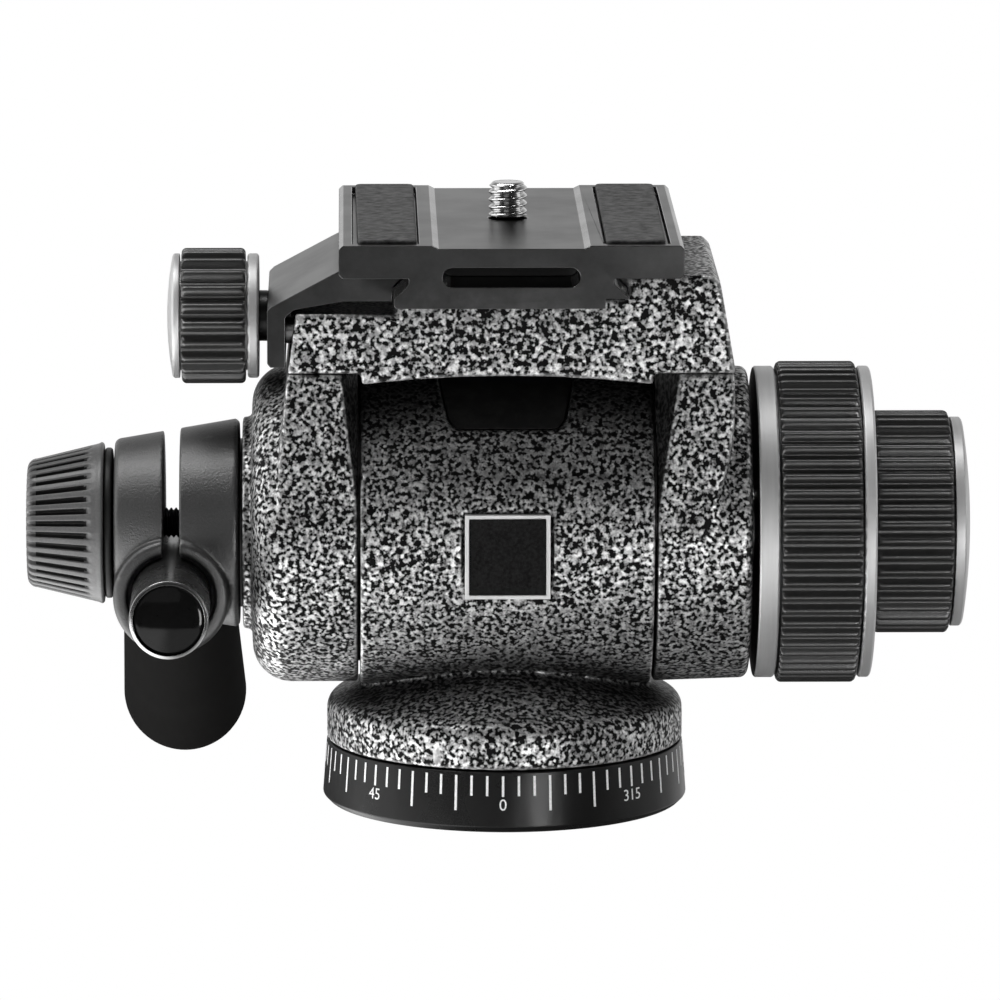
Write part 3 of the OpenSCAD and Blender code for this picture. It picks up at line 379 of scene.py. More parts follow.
for name, look in darkLooks.items():
    finishes[name] = darkFinish(name, look)
for name, look in metalLooks.items():
    finishes[name] = brushedFinish(name, look)
slotFinish = {
    "noir_paint": "speckledPaint", "black_paint": "blackPaint", "dial_black": "dialBlack",
    "anodised": "anodised", "bright_metal": "brightMetal", "steel": "steel",
    "black_steel": "blackSteel", "zinc_steel": "zincSteel", "bronze": "bronze",
    "grip_rubber": "gripRubber", "pad_rubber": "padRubber", "knob_plastic": "knobPlastic",
    "black_plastic": "blackPlastic", "plug_plastic": "plugPlastic", "slide_plastic": "slidePlastic",
}
nodeSlot = {piece["node"]: piece["material_slot"] for piece in frame["record"]["subparts"]}
for name, slot in nodeSlot.items():
    nodes[name].data.materials.clear()
    nodes[name].data.materials.append(finishes[slotFinish[slot]])
print("finishes:", len(finishes))


# Mesh helpers

def settle(name, mesh, node, finish=None, stands=True):
    mesh.materials.clear()
    mesh.materials.append(finishes[finish or slotFinish[nodeSlot[node]]])
    piece = bpy.data.objects.new(name, mesh)
    bpy.context.scene.collection.objects.link(piece)
    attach(piece, nodes[node]["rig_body"])
    if stands:
        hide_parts(node)
    return piece


def smoothAll(mesh):
    mesh.polygons.foreach_set("use_smooth", [True] * len(mesh.polygons))


weldLook = {"solid": 0.002, "turned": 0.001}  # points closer than this, in millimetres, become one


def weld(shape, gap):
    bmesh.ops.remove_doubles(shape, verts=shape.verts, dist=gap * mm)
    bmesh.ops.dissolve_degenerate(shape, edges=shape.edges, dist=gap / 2 * mm)


def weldedCopy(node):
    shape = bmesh.new()
    shape.from_mesh(nodes[node].data)
    weld(shape, weldLook["solid"])
    return shape


def meshFrom(name, shape):
    mesh = bpy.data.meshes.new(name)
    shape.to_mesh(mesh)
    shape.free()
    return mesh


def evenShading(piece):
    even = piece.modifiers.new("evenShading", "WEIGHTED_NORMAL")
    even.weight = 100


def applied(mesh, *settings):
    holder = bpy.data.objects.new("holder", mesh)
    bpy.context.scene.collection.objects.link(holder)
    for kind, values in settings:
        modifier = holder.modifiers.new(kind.lower(), kind)
        for label, value in values.items():
            setattr(modifier, label, value)
    ready = holder.evaluated_get(bpy.context.evaluated_depsgraph_get())
    result = bpy.data.meshes.new_from_object(ready)
    bpy.data.objects.remove(holder)
    return result


def castPiece(name, node, voxel, rounds, keep):  # soft casting: every edge and corner runs round
    result = applied(
        meshFrom(name, weldedCopy(node)),
        ("REMESH", {"mode": "VOXEL", "voxel_size": voxel * mm, "use_smooth_shade": True}),
        ("SMOOTH", {"factor": 0.5, "iterations": rounds}),
        ("DECIMATE", {"ratio": keep}),
    )
    smoothAll(result)
    settle(name, result, node)


edgeLook = {"flat": 0.4, "sharp": 28.0, "steps": 2}  # degrees that count as flat and as an edge


def crispPiece(name, node, width, finish=None):  # machined or moulded: broken edges
    shape = weldedCopy(node)
    flat, limit = math.radians(edgeLook["flat"]), math.radians(edgeLook["sharp"])
    bmesh.ops.dissolve_limit(shape, angle_limit=flat, verts=shape.verts, edges=shape.edges)
    edges = [e for e in shape.edges if e.is_manifold and e.calc_face_angle(0.0) > limit]
    bmesh.ops.bevel(
        shape, geom=edges, offset=width * mm, segments=edgeLook["steps"], profile=0.5, affect="EDGES",
        clamp_overlap=False, miter_outer="ARC",
    )
    mesh = meshFrom(name, shape)
    smoothAll(mesh)
    piece = settle(name, mesh, node, finish)
    evenShading(piece)
    return piece


def paintFaces(piece, finish, chosen):  # a second finish on the chosen faces
    piece.data.materials.append(finishes[finish])
    for face in piece.data.polygons:
        if chosen(face):
            face.material_index = 1


def turner(origin, along, up):
    along, up = Vector(along).normalized(), Vector(up).normalized()
    side = along.cross(up)

    def place(angle, radius, distance):
        return origin + along * distance + (up * math.cos(angle) + side * math.sin(angle)) * radius

    return place


def rowFaces(rows):  # faces between closed rows of points, each row as long as the next
    count = len(rows[0])
    faces = []
    for i in range(len(rows) - 1):
        for j in range(count):
            k = (j + 1) % count
            faces.append((i * count + j, i * count + k, (i + 1) * count + k, (i + 1) * count + j))
    return faces


def sealedMesh(name, rows, caps=()):
    shape = bmesh.new()
    made = [shape.verts.new(p) for row in rows for p in row]
    for face in [*caps, *rowFaces(rows)]:
        shape.faces.new([made[i] for i in face])
    weld(shape, weldLook["turned"])
    bmesh.ops.recalc_face_normals(shape, faces=shape.faces)
    mesh = meshFrom(name, shape)
    smoothAll(mesh)
    return mesh


def turnedMesh(name, place, profile, angles, shape=None):  # profile of (radius, distance), axis to axis
    ringShape = shape or (lambda angle, radius, distance: radius)
    rows = [[place(a, ringShape(a, r, d), d) for a in angles] for r, d in profile]
    return sealedMesh(name, rows)


def evenAngles(count):
    return [2 * math.pi * i / count for i in range(count)]


def arc(centre, radius, start, end, steps):
    turns = [math.radians(start + (end - start) * i / steps) for i in range(steps + 1)]
    return [(centre[0] + radius * math.cos(t), centre[1] + radius * math.sin(t)) for t in turns]


def spread(start, end, steps):
    return [start + (end - start) * i / steps for i in range(steps + 1)]


boxes = {name: [Vector(corner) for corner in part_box(name)] for name in nodes}


def middle(node):
    return (boxes[node][0] + boxes[node][1]) / 2


def extent(node):
    return boxes[node][1] - boxes[node][0]


# Castings in speckled paint and the painted clamp

castLooks = {
    "panHousing": {"node": "pan_housing", "voxel": 0.42, "rounds": 4, "keep": 0.35},
    "leftCheek": {"node": "left_cheek", "voxel": 0.42, "rounds": 5, "keep": 0.35},
    "rightCheek": {"node": "right_cheek", "voxel": 0.42, "rounds": 5, "keep": 0.35},
    "platformCasting": {"node": "platform", "voxel": 0.42, "rounds": 4, "keep": 0.35},
    "splitClamp": {"node": "handle_clamp", "voxel": 0.3, "rounds": 4, "keep": 0.4},
}
for name, look in castLooks.items():
    castPiece(name, look["node"], look["voxel"], look["rounds"], look["keep"])
print("castings:", len(castLooks))


# Machined and moulded pieces with broken edges, by width in millimetres

crispLooks = {
    "panDial": ("pan_dial", 0.2), "tripodBush": ("tripod_bush", 0.3), "baseScrews": ("base_screws", 0.12),
    "topCover": ("top_cover", 0.25), "badgeFrame": ("badge_frame", 0.12),
    "innerRing": ("pan_lock_inner_ring", 0.12), "outerRing": ("pan_lock_outer_ring", 0.12),
    "tiltLockCap": ("tilt_lock_cap", 0.12), "panLockHub": ("pan_lock_hub", 0.15),
    "tiltLockHub": ("tilt_lock_hub", 0.15), "clampJaw": ("clamp_jaw", 0.18),
    "releaseScrew": ("qr_screw", 0.15), "releaseCore": ("qr_knob_core", 0.12),
    "releaseCap": ("qr_knob_cap", 0.12), "cameraPlate": ("camera_plate", 0.16),
    "clampCollar": ("clamp_collar", 0.15), "frictionRing": ("clamp_friction_ring", 0.1),
    "handlePlug": ("handle_plug", 0.15), "badgePlate": ("badge_plate", 0.06),
}
ownFinish = {"badgePlate": "badgeBlack"}  # in place of the slot's finish
faceLook = {"back": -0.8, "up": 0.5, "slant": 0.12}  # parts of a face's normal


def ringBack(face):  # painted shade: the side of the inner ring that looks at the cheek gets black plastic, for the shade in the gap
    return face.normal.x < faceLook["back"]


def plateStep(face):  # painted highlight: the plate's steps and upper side edges get the brighter turned finish
    return face.normal.z > faceLook["up"] and abs(face.normal.x) > faceLook["slant"]


secondFinish = {"innerRing": ("blackPlastic", ringBack), "cameraPlate": ("turnedRim", plateStep)}
for name, (node, width) in crispLooks.items():
    made = crispPiece(name, node, width, ownFinish.get(name))
    if name in secondFinish:
        paintFaces(made, *secondFinish[name])
print("crisp pieces:", len(crispLooks))


# Handle bar: its open front end has a wide turned chamfer

barLook = {"rim": 0.7, "edge": 0.2, "skin": 0.6, "face": 0.05, "bright": 0.84,
           "front": -0.4}  # the most Y that a rim face's normal has


def handleBar():
    front = boxes["handle_bar"][0][1]
    outer = extent("handle_bar").x / 2
    centre = middle("handle_bar").x
    made = crispPiece("handleBar", "handle_bar", barLook["edge"], "barBlack")
    reach = barLook["rim"] * mm
    endPoints = [v for v in made.data.vertices if v.co.y < front + reach / 2]
    axis = max(v.co.z for v in endPoints) - max(abs(v.co.x - centre) for v in endPoints)
    for v in endPoints:
        radius = math.hypot(v.co.x - centre, v.co.z - axis)
        if radius <= outer - barLook["skin"] * mm:
            continue
        if v.co.y < front + barLook["face"] * mm:  # the end face draws in
            shrink = (outer - reach) / radius
            v.co.x = centre + (v.co.x - centre) * shrink
            v.co.z = axis + (v.co.z - axis) * shrink
        else:  # the edge's other points move back
            v.co.y = front + reach
    brightEnd = front + barLook["bright"] * mm

    def onRim(face):
        return face.normal.y < barLook["front"] and face.center.y < brightEnd

    paintFaces(made, "turnedRim", onRim)


handleBar()
print("handle bar made")


# Ribbed rubber grips

ribLooks = {
    "panLockGrip": {"node": "pan_lock_grip", "ribs": 65, "deep": 1.1, "land": 0.5, "along": (1, 0, 0)},
    "tiltLockGrip": {"node": "tilt_lock_grip", "ribs": 42, "deep": 1.1, "land": 0.52, "along": (1, 0, 0)},
    "releaseGrip": {"node": "qr_knob_grip", "ribs": 22, "deep": 1.2, "land": 0.52, "along": (-1, 0, 0)},
}
ribShape = {"rubber": 2.16, "endRound": 0.8, "endSteps": 6, "bodySteps": 6, "flank": 0.16, "crown": 0.12,
            "phases": (0, 6, 12, 17, 21, 25, 31, 42)}  # points over half a pitch, in hundredths of it


def ribHeight(phase, land, flank):  # 1 on a rib, 0 in a groove
    away = abs(phase - 0.5) - land / 2
    t = min(1.0, max(0.0, 0.5 - away / (2 * flank)))
    crown = 1.0 - ribShape["crown"] * (2 * (phase - 0.5) / land) ** 2 if away < 0 else 1.0
    return t * t * (3 - 2 * t) * crown


def ribbedGrip(name, look):
    size, centre = extent(look["node"]), middle(look["node"])
    outer, width = max(size.y, size.z) / 2, size.x
    inner, bottom = outer - ribShape["rubber"] * mm, outer - look["deep"] * mm
    bend = ribShape["endRound"] * mm
    place = turner(centre - Vector(look["along"]) * width / 2, look["along"], (0, 0, 1))
    phases = [p / 100 for p in ribShape["phases"]]
    phases = phases + [0.5] + [1 - p for p in reversed(phases[1:])]
    angles = [2 * math.pi * (i + p) / look["ribs"] for i in range(look["ribs"]) for p in phases]
    front = arc((outer - bend, bend), bend, -90, 0, ribShape["endSteps"])
    back = [(r, width - d) for r, d in reversed(front)]
    body = [(outer, d) for d in spread(bend, width - bend, ribShape["bodySteps"])[1:-1]]
    skin = front + body + back
    profile = [(inner, 0.0)] + skin + [(inner, width), (inner, 0.0)]

    def shape(angle, radius, distance):
        if radius <= bottom:
            return radius
        phase = (angle * look["ribs"] / (2 * math.pi)) % 1.0
        return bottom + (radius - bottom) * ribHeight(phase, look["land"], ribShape["flank"])

    settle(name, turnedMesh(name, place, profile, angles, shape), look["node"])


for name, look in ribLooks.items():
    ribbedGrip(name, look)
print("ribbed grips:", len(ribLooks))


# Fluted clamp knob

# share and phases are parts of one flute's pitch
knobLook = {"tip": 10.7, "tipRound": 1.6, "rimRound": 0.5, "flutes": 38, "deep": 0.85, "band": 2.2,
            "ramp": 0.7, "bore": 4.54, "boreDepth": 9.59, "share": 0.5, "fluteShadeFrom": 0.35,
            "smooth": 8.78, "endRing": 0.6, "rimSteps": 5, "coneSteps": 24, "tipSteps": 7,
            "phases": (0.0, 0.14, 0.22, 0.26, 0.31, 0.4, 0.5, 0.6, 0.69, 0.74, 0.78, 0.86)}


def flutedKnob():
    look = knobLook
    size, centre = extent("clamp_knob"), middle("clamp_knob")
    rim, length = size.z / 2, size.x
    tip, bend = look["tip"] * mm, look["tipRound"] * mm
    edge, bore = look["rimRound"] * mm, look["bore"] * mm
    place = turner(centre + Vector((length / 2, 0, 0)), (-1, 0, 0), (0, 0, 1))

    def cone(distance):
        return rim + (tip - rim) * distance / (length - bend)

    deep = look["boreDepth"] * mm
    profile = [(0.0, deep), (bore, deep), (bore, 0.0), (rim - 2 * edge, 0.0)]
    profile += arc((rim - edge, edge), edge, -90, 0, look["rimSteps"])
    profile += [(cone(d), d) for d in spread(edge, length - bend, look["coneSteps"])[1:]]
    profile += arc((tip - bend, length - bend), bend, 0, 90, look["tipSteps"])[1:]
    profile += [(look["endRing"] * tip, length), (0.0, length)]
    angles = [2 * math.pi * (i + p) / look["flutes"] for i in range(look["flutes"]) for p in look["phases"]]

    def shape(angle, radius, distance):
        if radius < look["smooth"] * mm:  # end face and bore
            return radius
        phase = (angle * look["flutes"] / (2 * math.pi)) % 1.0
        across = max(0.0, 1.0 - ((phase - 0.5) / (look["share"] / 2)) ** 2)
        along = min(1.0, max(0.0, (distance - look["band"] * mm) / (look["ramp"] * mm)))
        return radius - look["deep"] * mm * math.sqrt(across) * along

    knob = settle("clampKnob", turnedMesh("clampKnob", place, profile, angles, shape), "clamp_knob")

    # painted shade: the deep part of each flute gets black plastic so the grooves read dark
    def inFlute(face):
        distance = centre.x + length / 2 - face.center.x
        radius = math.hypot(face.center.y - centre.y, face.center.z - centre.z)
        deepEnough = radius < cone(distance) - look["fluteShadeFrom"] * mm
        return look["band"] * mm < distance < length - bend and deepEnough

    paintFaces(knob, "blackPlastic", inFlute)


flutedKnob()


# Threads: camera screw and clamp stud

threadForm = {"steep": 2.6, "crest": 0.25}  # slope of the flanks and flatness of the crest


def threadDepth(angle, distance, pitch):  # 0 on a crest, 1 in a root
    phase = (distance / pitch - angle / (2 * math.pi)) % 1.0
    return min(1.0, max(0.0, threadForm["steep"] * abs(phase - 0.5) - threadForm["crest"]))


screwLook = {"radius": 3.175, "pitch": 1.27, "deep": 0.62, "shank": 2.675, "headHigh": 3.0, "headEdge": 0.3,
             "above": 5.5, "tip": 0.7, "turnSteps": 56, "threadSteps": 44, "tipSteps": 6,
             "endRing": 0.5, "smooth": 0.6, "slack": 0.01}  # endRing and smooth: shares of the radius


def cameraScrew():
    look = screwLook
    low, high = boxes["camera_screw"]
    centre, radius = middle("camera_screw"), extent("camera_screw").x / 2
    tall, above, head = high[2] - low[2], look["above"] * mm, look["headHigh"] * mm
    thread, shank, tip = look["radius"] * mm, look["shank"] * mm, look["tip"] * mm
    place = turner(Vector((centre.x, centre.y, low[2])), (0, 0, 1), (0, 1, 0))
    edge = look["headEdge"] * mm
    profile = [(0.0, 0.0), (radius - edge, 0.0), (radius, edge), (radius, head - edge)]
    profile += [(radius - edge, head), (shank, head), (shank, tall - above)]
    profile += [(thread, d) for d in spread(tall - above, tall - tip, look["threadSteps"])]
    profile += [(thread - tip * t, tall - tip + tip * t) for t in spread(0.0, 1.0, look["tipSteps"])[1:]]
    profile += [(look["endRing"] * thread, tall), (0.0, tall)]

    def shape(angle, r, distance):
        if distance < tall - above + look["slack"] * mm or r < look["smooth"] * thread:
            return r
        root = thread - look["deep"] * mm
        cut = thread - look["deep"] * mm * threadDepth(angle, distance, look["pitch"] * mm)
        return max(min(r, cut), min(r, root))

    mesh = turnedMesh("cameraScrew", place, profile, evenAngles(look["turnSteps"]), shape)
    settle("cameraScrew", mesh, "camera_screw")


studLook = {"pitch": 0.8, "deep": 0.42, "edge": 0.4, "pitchSteps": 8, "turnSteps": 32}


def clampStud():
    look = studLook
    low, high = boxes["clamp_stud"]
    centre, radius = middle("clamp_stud"), extent("clamp_stud").z / 2
    length = high[0] - low[0]
    place = turner(Vector((high[0], centre.y, centre.z)), (-1, 0, 0), (0, 0, 1))
    steps = int(length / (look["pitch"] * mm / look["pitchSteps"]))
    edge = look["edge"] * mm
    profile = [(0.0, 0.0), (radius - edge, 0.0)]
    profile += [(radius, d) for d in spread(edge, length - edge, steps)]
    profile += [(radius - edge, length), (0.0, length)]

    def shape(angle, r, distance):
        if r < radius:
            return r
        return radius - look["deep"] * mm * threadDepth(angle, distance, look["pitch"] * mm)

    mesh = turnedMesh("clampStud", place, profile, evenAngles(look["turnSteps"]), shape)
    settle("clampStud", mesh, "clamp_stud")


cameraScrew()
clampStud()
print("fluted knob and threads made")


# Handle grip: a tapered sleeve with a round end

gripLook = {"bend": 29.0, "length": 69.0, "taper": 0.02, "bore": 6.39, "boreDepth": 57.04,
            "startRound": 1.2, "startSteps": 6, "bodySteps": 12, "endSteps": 20, "turnSteps": 80}


def handleGrip():
    look = gripLook
    low, high = boxes["handle_grip"]
    radius, length = extent("handle_grip").x / 2, look["length"] * mm
    slope = math.radians(look["bend"])
    along = Vector((0, math.cos(slope), -math.sin(slope)))
    endCentre = Vector((middle("handle_grip").x, high[1] - radius, low[2] + radius))
    place = turner(endCentre - along * (length - radius), along, (1, 0, 0))
    start, bend, bore = radius - look["taper"] * length, look["startRound"] * mm, look["bore"] * mm
    profile = [(0.0, look["boreDepth"] * mm), (bore, look["boreDepth"] * mm), (bore, 0.0)]
    profile += arc((start - bend, bend), bend, -90, 0, look["startSteps"])
    body = length - radius
    swell = (radius - start) / (body - bend)
    profile += [(start + swell * (d - bend), d) for d in spread(bend, body, look["bodySteps"])[1:]]
    profile += arc((0.0, body), radius, 0, 90, look["endSteps"])[1:]
    mesh = turnedMesh("handleGrip", place, profile, evenAngles(look["turnSteps"]))
    settle("handleGrip", mesh, "handle_grip", "handleRubber")


handleGrip()


# Rubber pads, a little narrower than their pockets

padLook = {"corner": 1.0, "round": 0.35, "steps": 5, "gap": 0.15, "roundTurns": (25, 50, 70, 90)}
padInsets = {  # left front, left back, right front, right back, in millimetres
    "left_pad": (0.85, 0.5, 0.25, 0.35), "right_pad": (0.3, 0.35, 0.7, 0.45),
}


def padOutline(low, high, insets, shrink):
    leftFront, leftBack, rightFront, rightBack = (i * mm for i in insets)
    corner = padLook["corner"] * mm - shrink / 2
    gap = padLook["gap"] * mm + shrink
    spots = [  # each corner, and the angle where its arc starts
        (low[0] + leftFront + shrink, low[1] + gap, 180),
        (high[0] - rightFront - shrink, low[1] + gap, 270),
        (high[0] - rightBack - shrink, high[1] - gap, 0),
        (low[0] + leftBack + shrink, high[1] - gap, 90),
    ]
    outline = []
    for x, y, start in spots:
        inX = corner if start in (180, 90) else -corner
        inY = corner if start in (180, 270) else -corner
        outline += arc((x + inX, y + inY), corner, start, start + 90, padLook["steps"])
    return outline


def rubberPad(name, node):
    low, high = boxes[node]
    bend = padLook["round"] * mm
    levels = [(0.0, low[2]), (0.0, high[2] - bend)]
    for turn in padLook["roundTurns"]:
        t = math.radians(turn)
        levels.append((bend * (1 - math.cos(t)), high[2] - bend + bend * math.sin(t)))
    rows = [[Vector((x, y, z)) for x, y in padOutline(low, high, padInsets[node], s)] for s, z in levels]
    count, total = len(rows[0]), len(rows) * len(rows[0])
    caps = [tuple(reversed(range(count))), tuple(range(total - count, total))]
    evenShading(settle(name, sealedMesh(name, rows, caps), node))


rubberPad("leftPad", "left_pad")
rubberPad("rightPad", "right_pad")


# Felt rings that close the gaps between column and cheeks

sealLook = {"radius": 23.0, "crown": 25.6, "hole": 8.5, "gap": 0.3, "clear": 0.02, "turnSteps": 72}


def sealRing(name, cheek, side):  # its upper half reaches higher, up to the crown
    start = boxes[cheek][1 if side < 0 else 0].x
    span = sealLook["gap"] * mm - sealLook["clear"] * mm
    place = turner(Vector((start, 0, middle("tilt_axle").z)), (-side, 0, 0), (0, 0, 1))
    hole, rim = sealLook["hole"] * mm, sealLook["radius"] * mm
    profile = [(hole, 0.0), (rim, 0.0), (rim, span), (hole, span), (hole, 0.0)]

    def shape(angle, radius, distance):
        return sealLook["crown"] * mm if radius == rim and math.cos(angle) > 0 else radius

    mesh = turnedMesh(name, place, profile, evenAngles(sealLook["turnSteps"]), shape)
    settle(name, mesh, cheek, "blackPlastic", stands=False)


sealRing("leftSeal", "left_cheek", -1)
sealRing("rightSeal", "right_cheek", 1)
print("handle grip, pads and seals made")


# Scale on the dial: a line every 5 degrees and a number every 45

scaleLook = {"every": 5, "longEvery": 15, "numberEvery": 45, "turn": 1.5,  # in degrees
             "long": 5.8, "medium": 3.4, "short": 3.3, "wide": 0.4, "fromTop": 0.6, "foot": 1.0,
             "number": 1.85, "numberGap": 0.4, "curveSteps": 4,
             "thick": 0.05, "proud": 0.6,  # proud: the share of it that stands out
             "topRadius": 29.6, "lineRadius": 29.9, "numberRadius": 30.0}


def onDial(angle, drop, lift):  # angle from the front towards the left, drop below the dial's top
    topHeight = boxes["pan_dial"][1].z
    foot, top = extent("pan_dial").x / 2, scaleLook["topRadius"] * mm
    tall = topHeight - scaleLook["foot"] * mm
    radius = top + (foot - top) * drop / tall + lift
    angle += math.radians(scaleLook["turn"])
    return Vector((-radius * math.sin(angle), -radius * math.cos(angle), topHeight - drop))


def scaleLine(degrees, length):
    half = scaleLook["wide"] / 2 / scaleLook["lineRadius"]  # as an angle
    start, thick = scaleLook["fromTop"] * mm, scaleLook["thick"] * mm
    points = []
    for lift in (-thick, thick * scaleLook["proud"]):
        for side, drop in ((-1, start), (1, start), (1, start + length), (-1, start + length)):
            points.append(onDial(math.radians(degrees) + side * half, drop, lift))
    faces = [(0, 1, 2, 3), (7, 6, 5, 4), (0, 4, 5, 1), (1, 5, 6, 2), (2, 6, 7, 3), (3, 7, 4, 0)]
    return points, faces


def scaleNumber(degrees):
    letters = bpy.data.curves.new("number", "FONT")
    letters.body = str(degrees)
    letters.align_x = "CENTER"
    letters.resolution_u = scaleLook["curveSteps"]
    letters.extrude = scaleLook["number"] * mm  # any depth does, lift gives the real one
    holder = bpy.data.objects.new("number", letters)
    bpy.context.scene.collection.objects.link(holder)
    ready = holder.evaluated_get(bpy.context.evaluated_depsgraph_get())
    mesh = bpy.data.meshes.new_from_object(ready)
    bpy.data.objects.remove(holder)
    tall = max(v.co.y for v in mesh.vertices)
    grow = scaleLook["number"] * mm / tall
    top = scaleLook["fromTop"] + scaleLook["medium"] + scaleLook["numberGap"] + scaleLook["number"]
    points = []
    for v in mesh.vertices:
        angle = math.radians(degrees) - v.co.x * grow / (scaleLook["numberRadius"] * mm)
        lift = scaleLook["thick"] * mm * (scaleLook["proud"] if v.co.z > 0 else -1.0)
        points.append(onDial(angle, top * mm - v.co.y * grow, lift))
    return points, [tuple(p.vertices) for p in mesh.polygons]


def dialScale():
    points, faces = [], []

    def add(made):
        start = len(points)
        points.extend(made[0])
        faces.extend(tuple(i + start for i in face) for face in made[1])

    for degrees in range(0, 360, scaleLook["every"]):
        if degrees % scaleLook["numberEvery"] == 0:
            add(scaleLine(degrees, scaleLook["medium"] * mm))
            add(scaleNumber(degrees))
        else:
            size = "long" if degrees % scaleLook["longEvery"] == 0 else "short"
            add(scaleLine(degrees, scaleLook[size] * mm))
    mesh = bpy.data.meshes.new("dialScale")
    mesh.from_pydata(points, [], faces)
    mesh.validate()
    settle("dialScale", mesh, "pan_dial", "scaleInk", stands=False)


dialScale()
print("dial scale made")


# Studio

studio = {"distance": 1.4, "pitch": 10.2, "yaw": 1.05, "roll": 0.08, "lens": 303.2, "sensor": 36.0,
          "clip": (0.05, 30.0), "aim": (-0.0008, 0.0, 0.0501), "lightAim": (0, 0, 0.05)}


def makeCamera():
    pitch, yaw = math.radians(studio["pitch"]), math.radians(studio["yaw"])
    away = Vector((-math.sin(yaw) * math.cos(pitch), -math.cos(yaw) * math.cos(pitch), math.sin(pitch)))
    camera = bpy.data.objects.new("camera", bpy.data.cameras.new("camera"))
    camera.data.lens = studio["lens"]
    camera.data.sensor_width = studio["sensor"]
    camera.data.clip_start, camera.data.clip_end = studio["clip"]
    camera.location = Vector(studio["aim"]) + away * studio["distance"]
    lean = Quaternion((0, 0, 1), math.radians(studio["roll"]))
    camera.rotation_euler = ((-away).to_track_quat("-Z", "Y") @ lean).to_euler()
    bpy.context.scene.collection.objects.link(camera)
    bpy.context.scene.camera = camera


floorLook = {"low": -0.1, "left": -0.6, "right": 0.12, "front": -0.5, "back": 5.0,
             "paper": (0.86, 0.9), "paperScale": 2.0, "rough": 0.9, "gloss": 0.1, "glow": 0.7, "shade": 0.05,
             # glow, shade and the ranges below set the painted light and shadow on the paper
             "under": (-0.24, -0.1), "beside": (-0.1, -0.03), "behind": (0.1, 0.2), "near": 2.4}


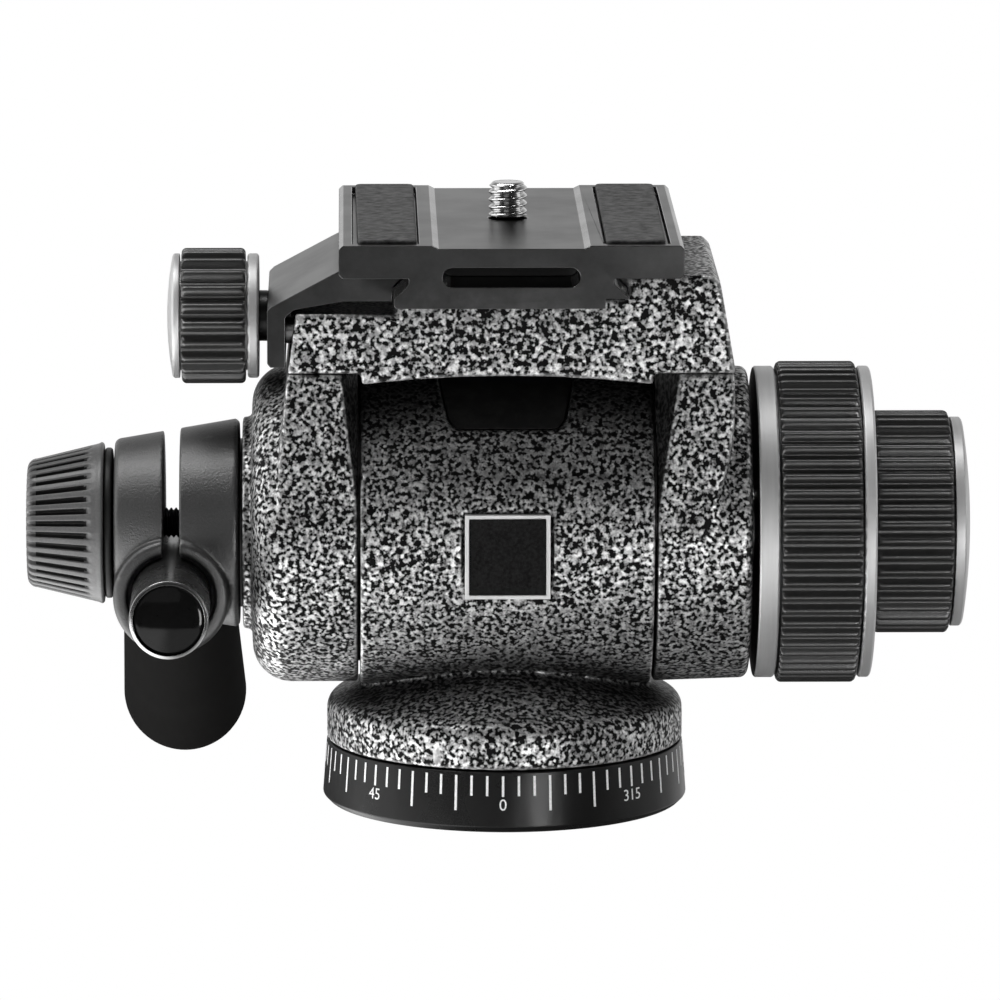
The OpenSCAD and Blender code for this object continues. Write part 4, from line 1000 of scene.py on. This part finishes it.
def makeFloor():
    left, right, front, back, low = (floorLook[side] for side in ("left", "right", "front", "back", "low"))
    mesh = bpy.data.meshes.new("floor")
    corners = [(left, front, low), (right, front, low), (right, back, low), (left, back, low)]
    mesh.from_pydata(corners, [], [(0, 1, 2, 3)])
    floor = bpy.data.objects.new("floor", mesh)
    bpy.context.scene.collection.objects.link(floor)
    finish = {"Roughness": floorLook["rough"], "Specular_IOR_Level": floorLook["gloss"]}
    material, tree, shader = startMaterial("floorPaper", **finish)
    tones = {"Scale": floorLook["paperScale"], "Low": floorLook["paper"][0], "High": floorLook["paper"][1]}
    paper = useGroup(tree, "mottle", **tones)
    where = addNode(tree, "ShaderNodeTexCoord").outputs["Object"]
    where = addNode(tree, "ShaderNodeSeparateXYZ", {0: where}).outputs
    # painted light and shadow on the paper: lit in front of the head and more brightly beside it on the
    # left, dark under and behind it
    ahead = remap(tree, where["Y"], *floorLook["under"], 1.0, floorLook["shade"])
    beside = remap(tree, where["X"], *floorLook["beside"], floorLook["near"], floorLook["shade"])
    beside = math2(tree, "MULTIPLY", beside, remap(tree, where["Y"], *floorLook["behind"], 1.0, 0.0))
    lit = math2(tree, "MAXIMUM", ahead, beside)  # painted shadow: the paper is darker under and behind the head
    tree.links.new(math2(tree, "MULTIPLY", paper["Value"], lit), shader.inputs["Base Color"])
    shader.inputs["Emission Color"].default_value = (1, 1, 1, 1)
    # painted light: the paper glows where it is lit, and not where the painted shadow lies
    tree.links.new(math2(tree, "MULTIPLY", lit, floorLook["glow"]), shader.inputs["Emission Strength"])
    seen = addNode(tree, "ShaderNodeLightPath").outputs["Is Camera Ray"]  # the paper burns out to white
    white = addNode(tree, "ShaderNodeEmission", {"Color": (1, 1, 1, 1), "Strength": 1.0}).outputs[0]
    mixed = addNode(tree, "ShaderNodeMixShader", {0: seen, 1: shader.outputs[0], 2: white}).outputs[0]
    tree.links.new(mixed, tree.nodes["Material Output"].inputs["Surface"])
    mesh.materials.append(material)


def makeLight(name, place, aim, size, power):
    lamp = bpy.data.lights.new(name, "AREA")
    lamp.shape = "RECTANGLE"
    lamp.size, lamp.size_y = size
    lamp.energy = power
    light = bpy.data.objects.new(name, lamp)
    light.location = place
    light.rotation_euler = (Vector(aim) - Vector(place)).to_track_quat("-Z", "Y").to_euler()
    bpy.context.scene.collection.objects.link(light)


worldLook = {"front": 0.04, "back": 0.7, "depth": (-0.7, 0.6), "band": (0.2, 0.8), "above": 0.15}


def makeWorld():
    world = bpy.data.worlds.new("studio")
    world.use_nodes = True
    tree = world.node_tree
    backdrop = tree.nodes["Background"]
    way = addNode(tree, "ShaderNodeTexCoord").outputs["Generated"]
    way = addNode(tree, "ShaderNodeSeparateXYZ", {0: way}).outputs
    band = remap(tree, way["Z"], *worldLook["band"], 1.0, worldLook["above"])  # darker overhead
    glow = remap(tree, way["Y"], *worldLook["depth"], worldLook["front"], worldLook["back"])
    glow = math2(tree, "MULTIPLY", glow, band)
    seen = addNode(tree, "ShaderNodeLightPath").outputs["Is Camera Ray"]
    tree.links.new(math2(tree, "MAXIMUM", glow, seen), backdrop.inputs["Strength"])
    backdrop.inputs["Color"].default_value = (1.0, 1.0, 1.0, 1.0)
    bpy.context.scene.world = world
    bpy.context.scene.view_settings.view_transform = "Standard"


studioLights = {  # place, size, watts
    "topBox": ((-0.45, 0.0, 1.0), (0.6, 0.4), 4.0),
    "leftBox": ((-0.9, 0.05, 0.35), (0.9, 0.9), 3.5),
    "rightBox": ((0.9, -0.1, 0.3), (0.5, 0.7), 1.0),
    "frontBox": ((-0.35, -1.6, 0.4), (1.0, 0.7), 0.9),
    "highStrip": ((0.0, 0.0, 1.05), (0.7, 0.14), 2.5),
    "lowStrip": ((0.33, -0.86, -0.1), (0.12, 0.2), 2.0),
}
makeCamera()
makeFloor()
makeWorld()
for name, (place, size, power) in studioLights.items():
    makeLight(name, place, studio["lightAim"], size, power)
print("studio set")
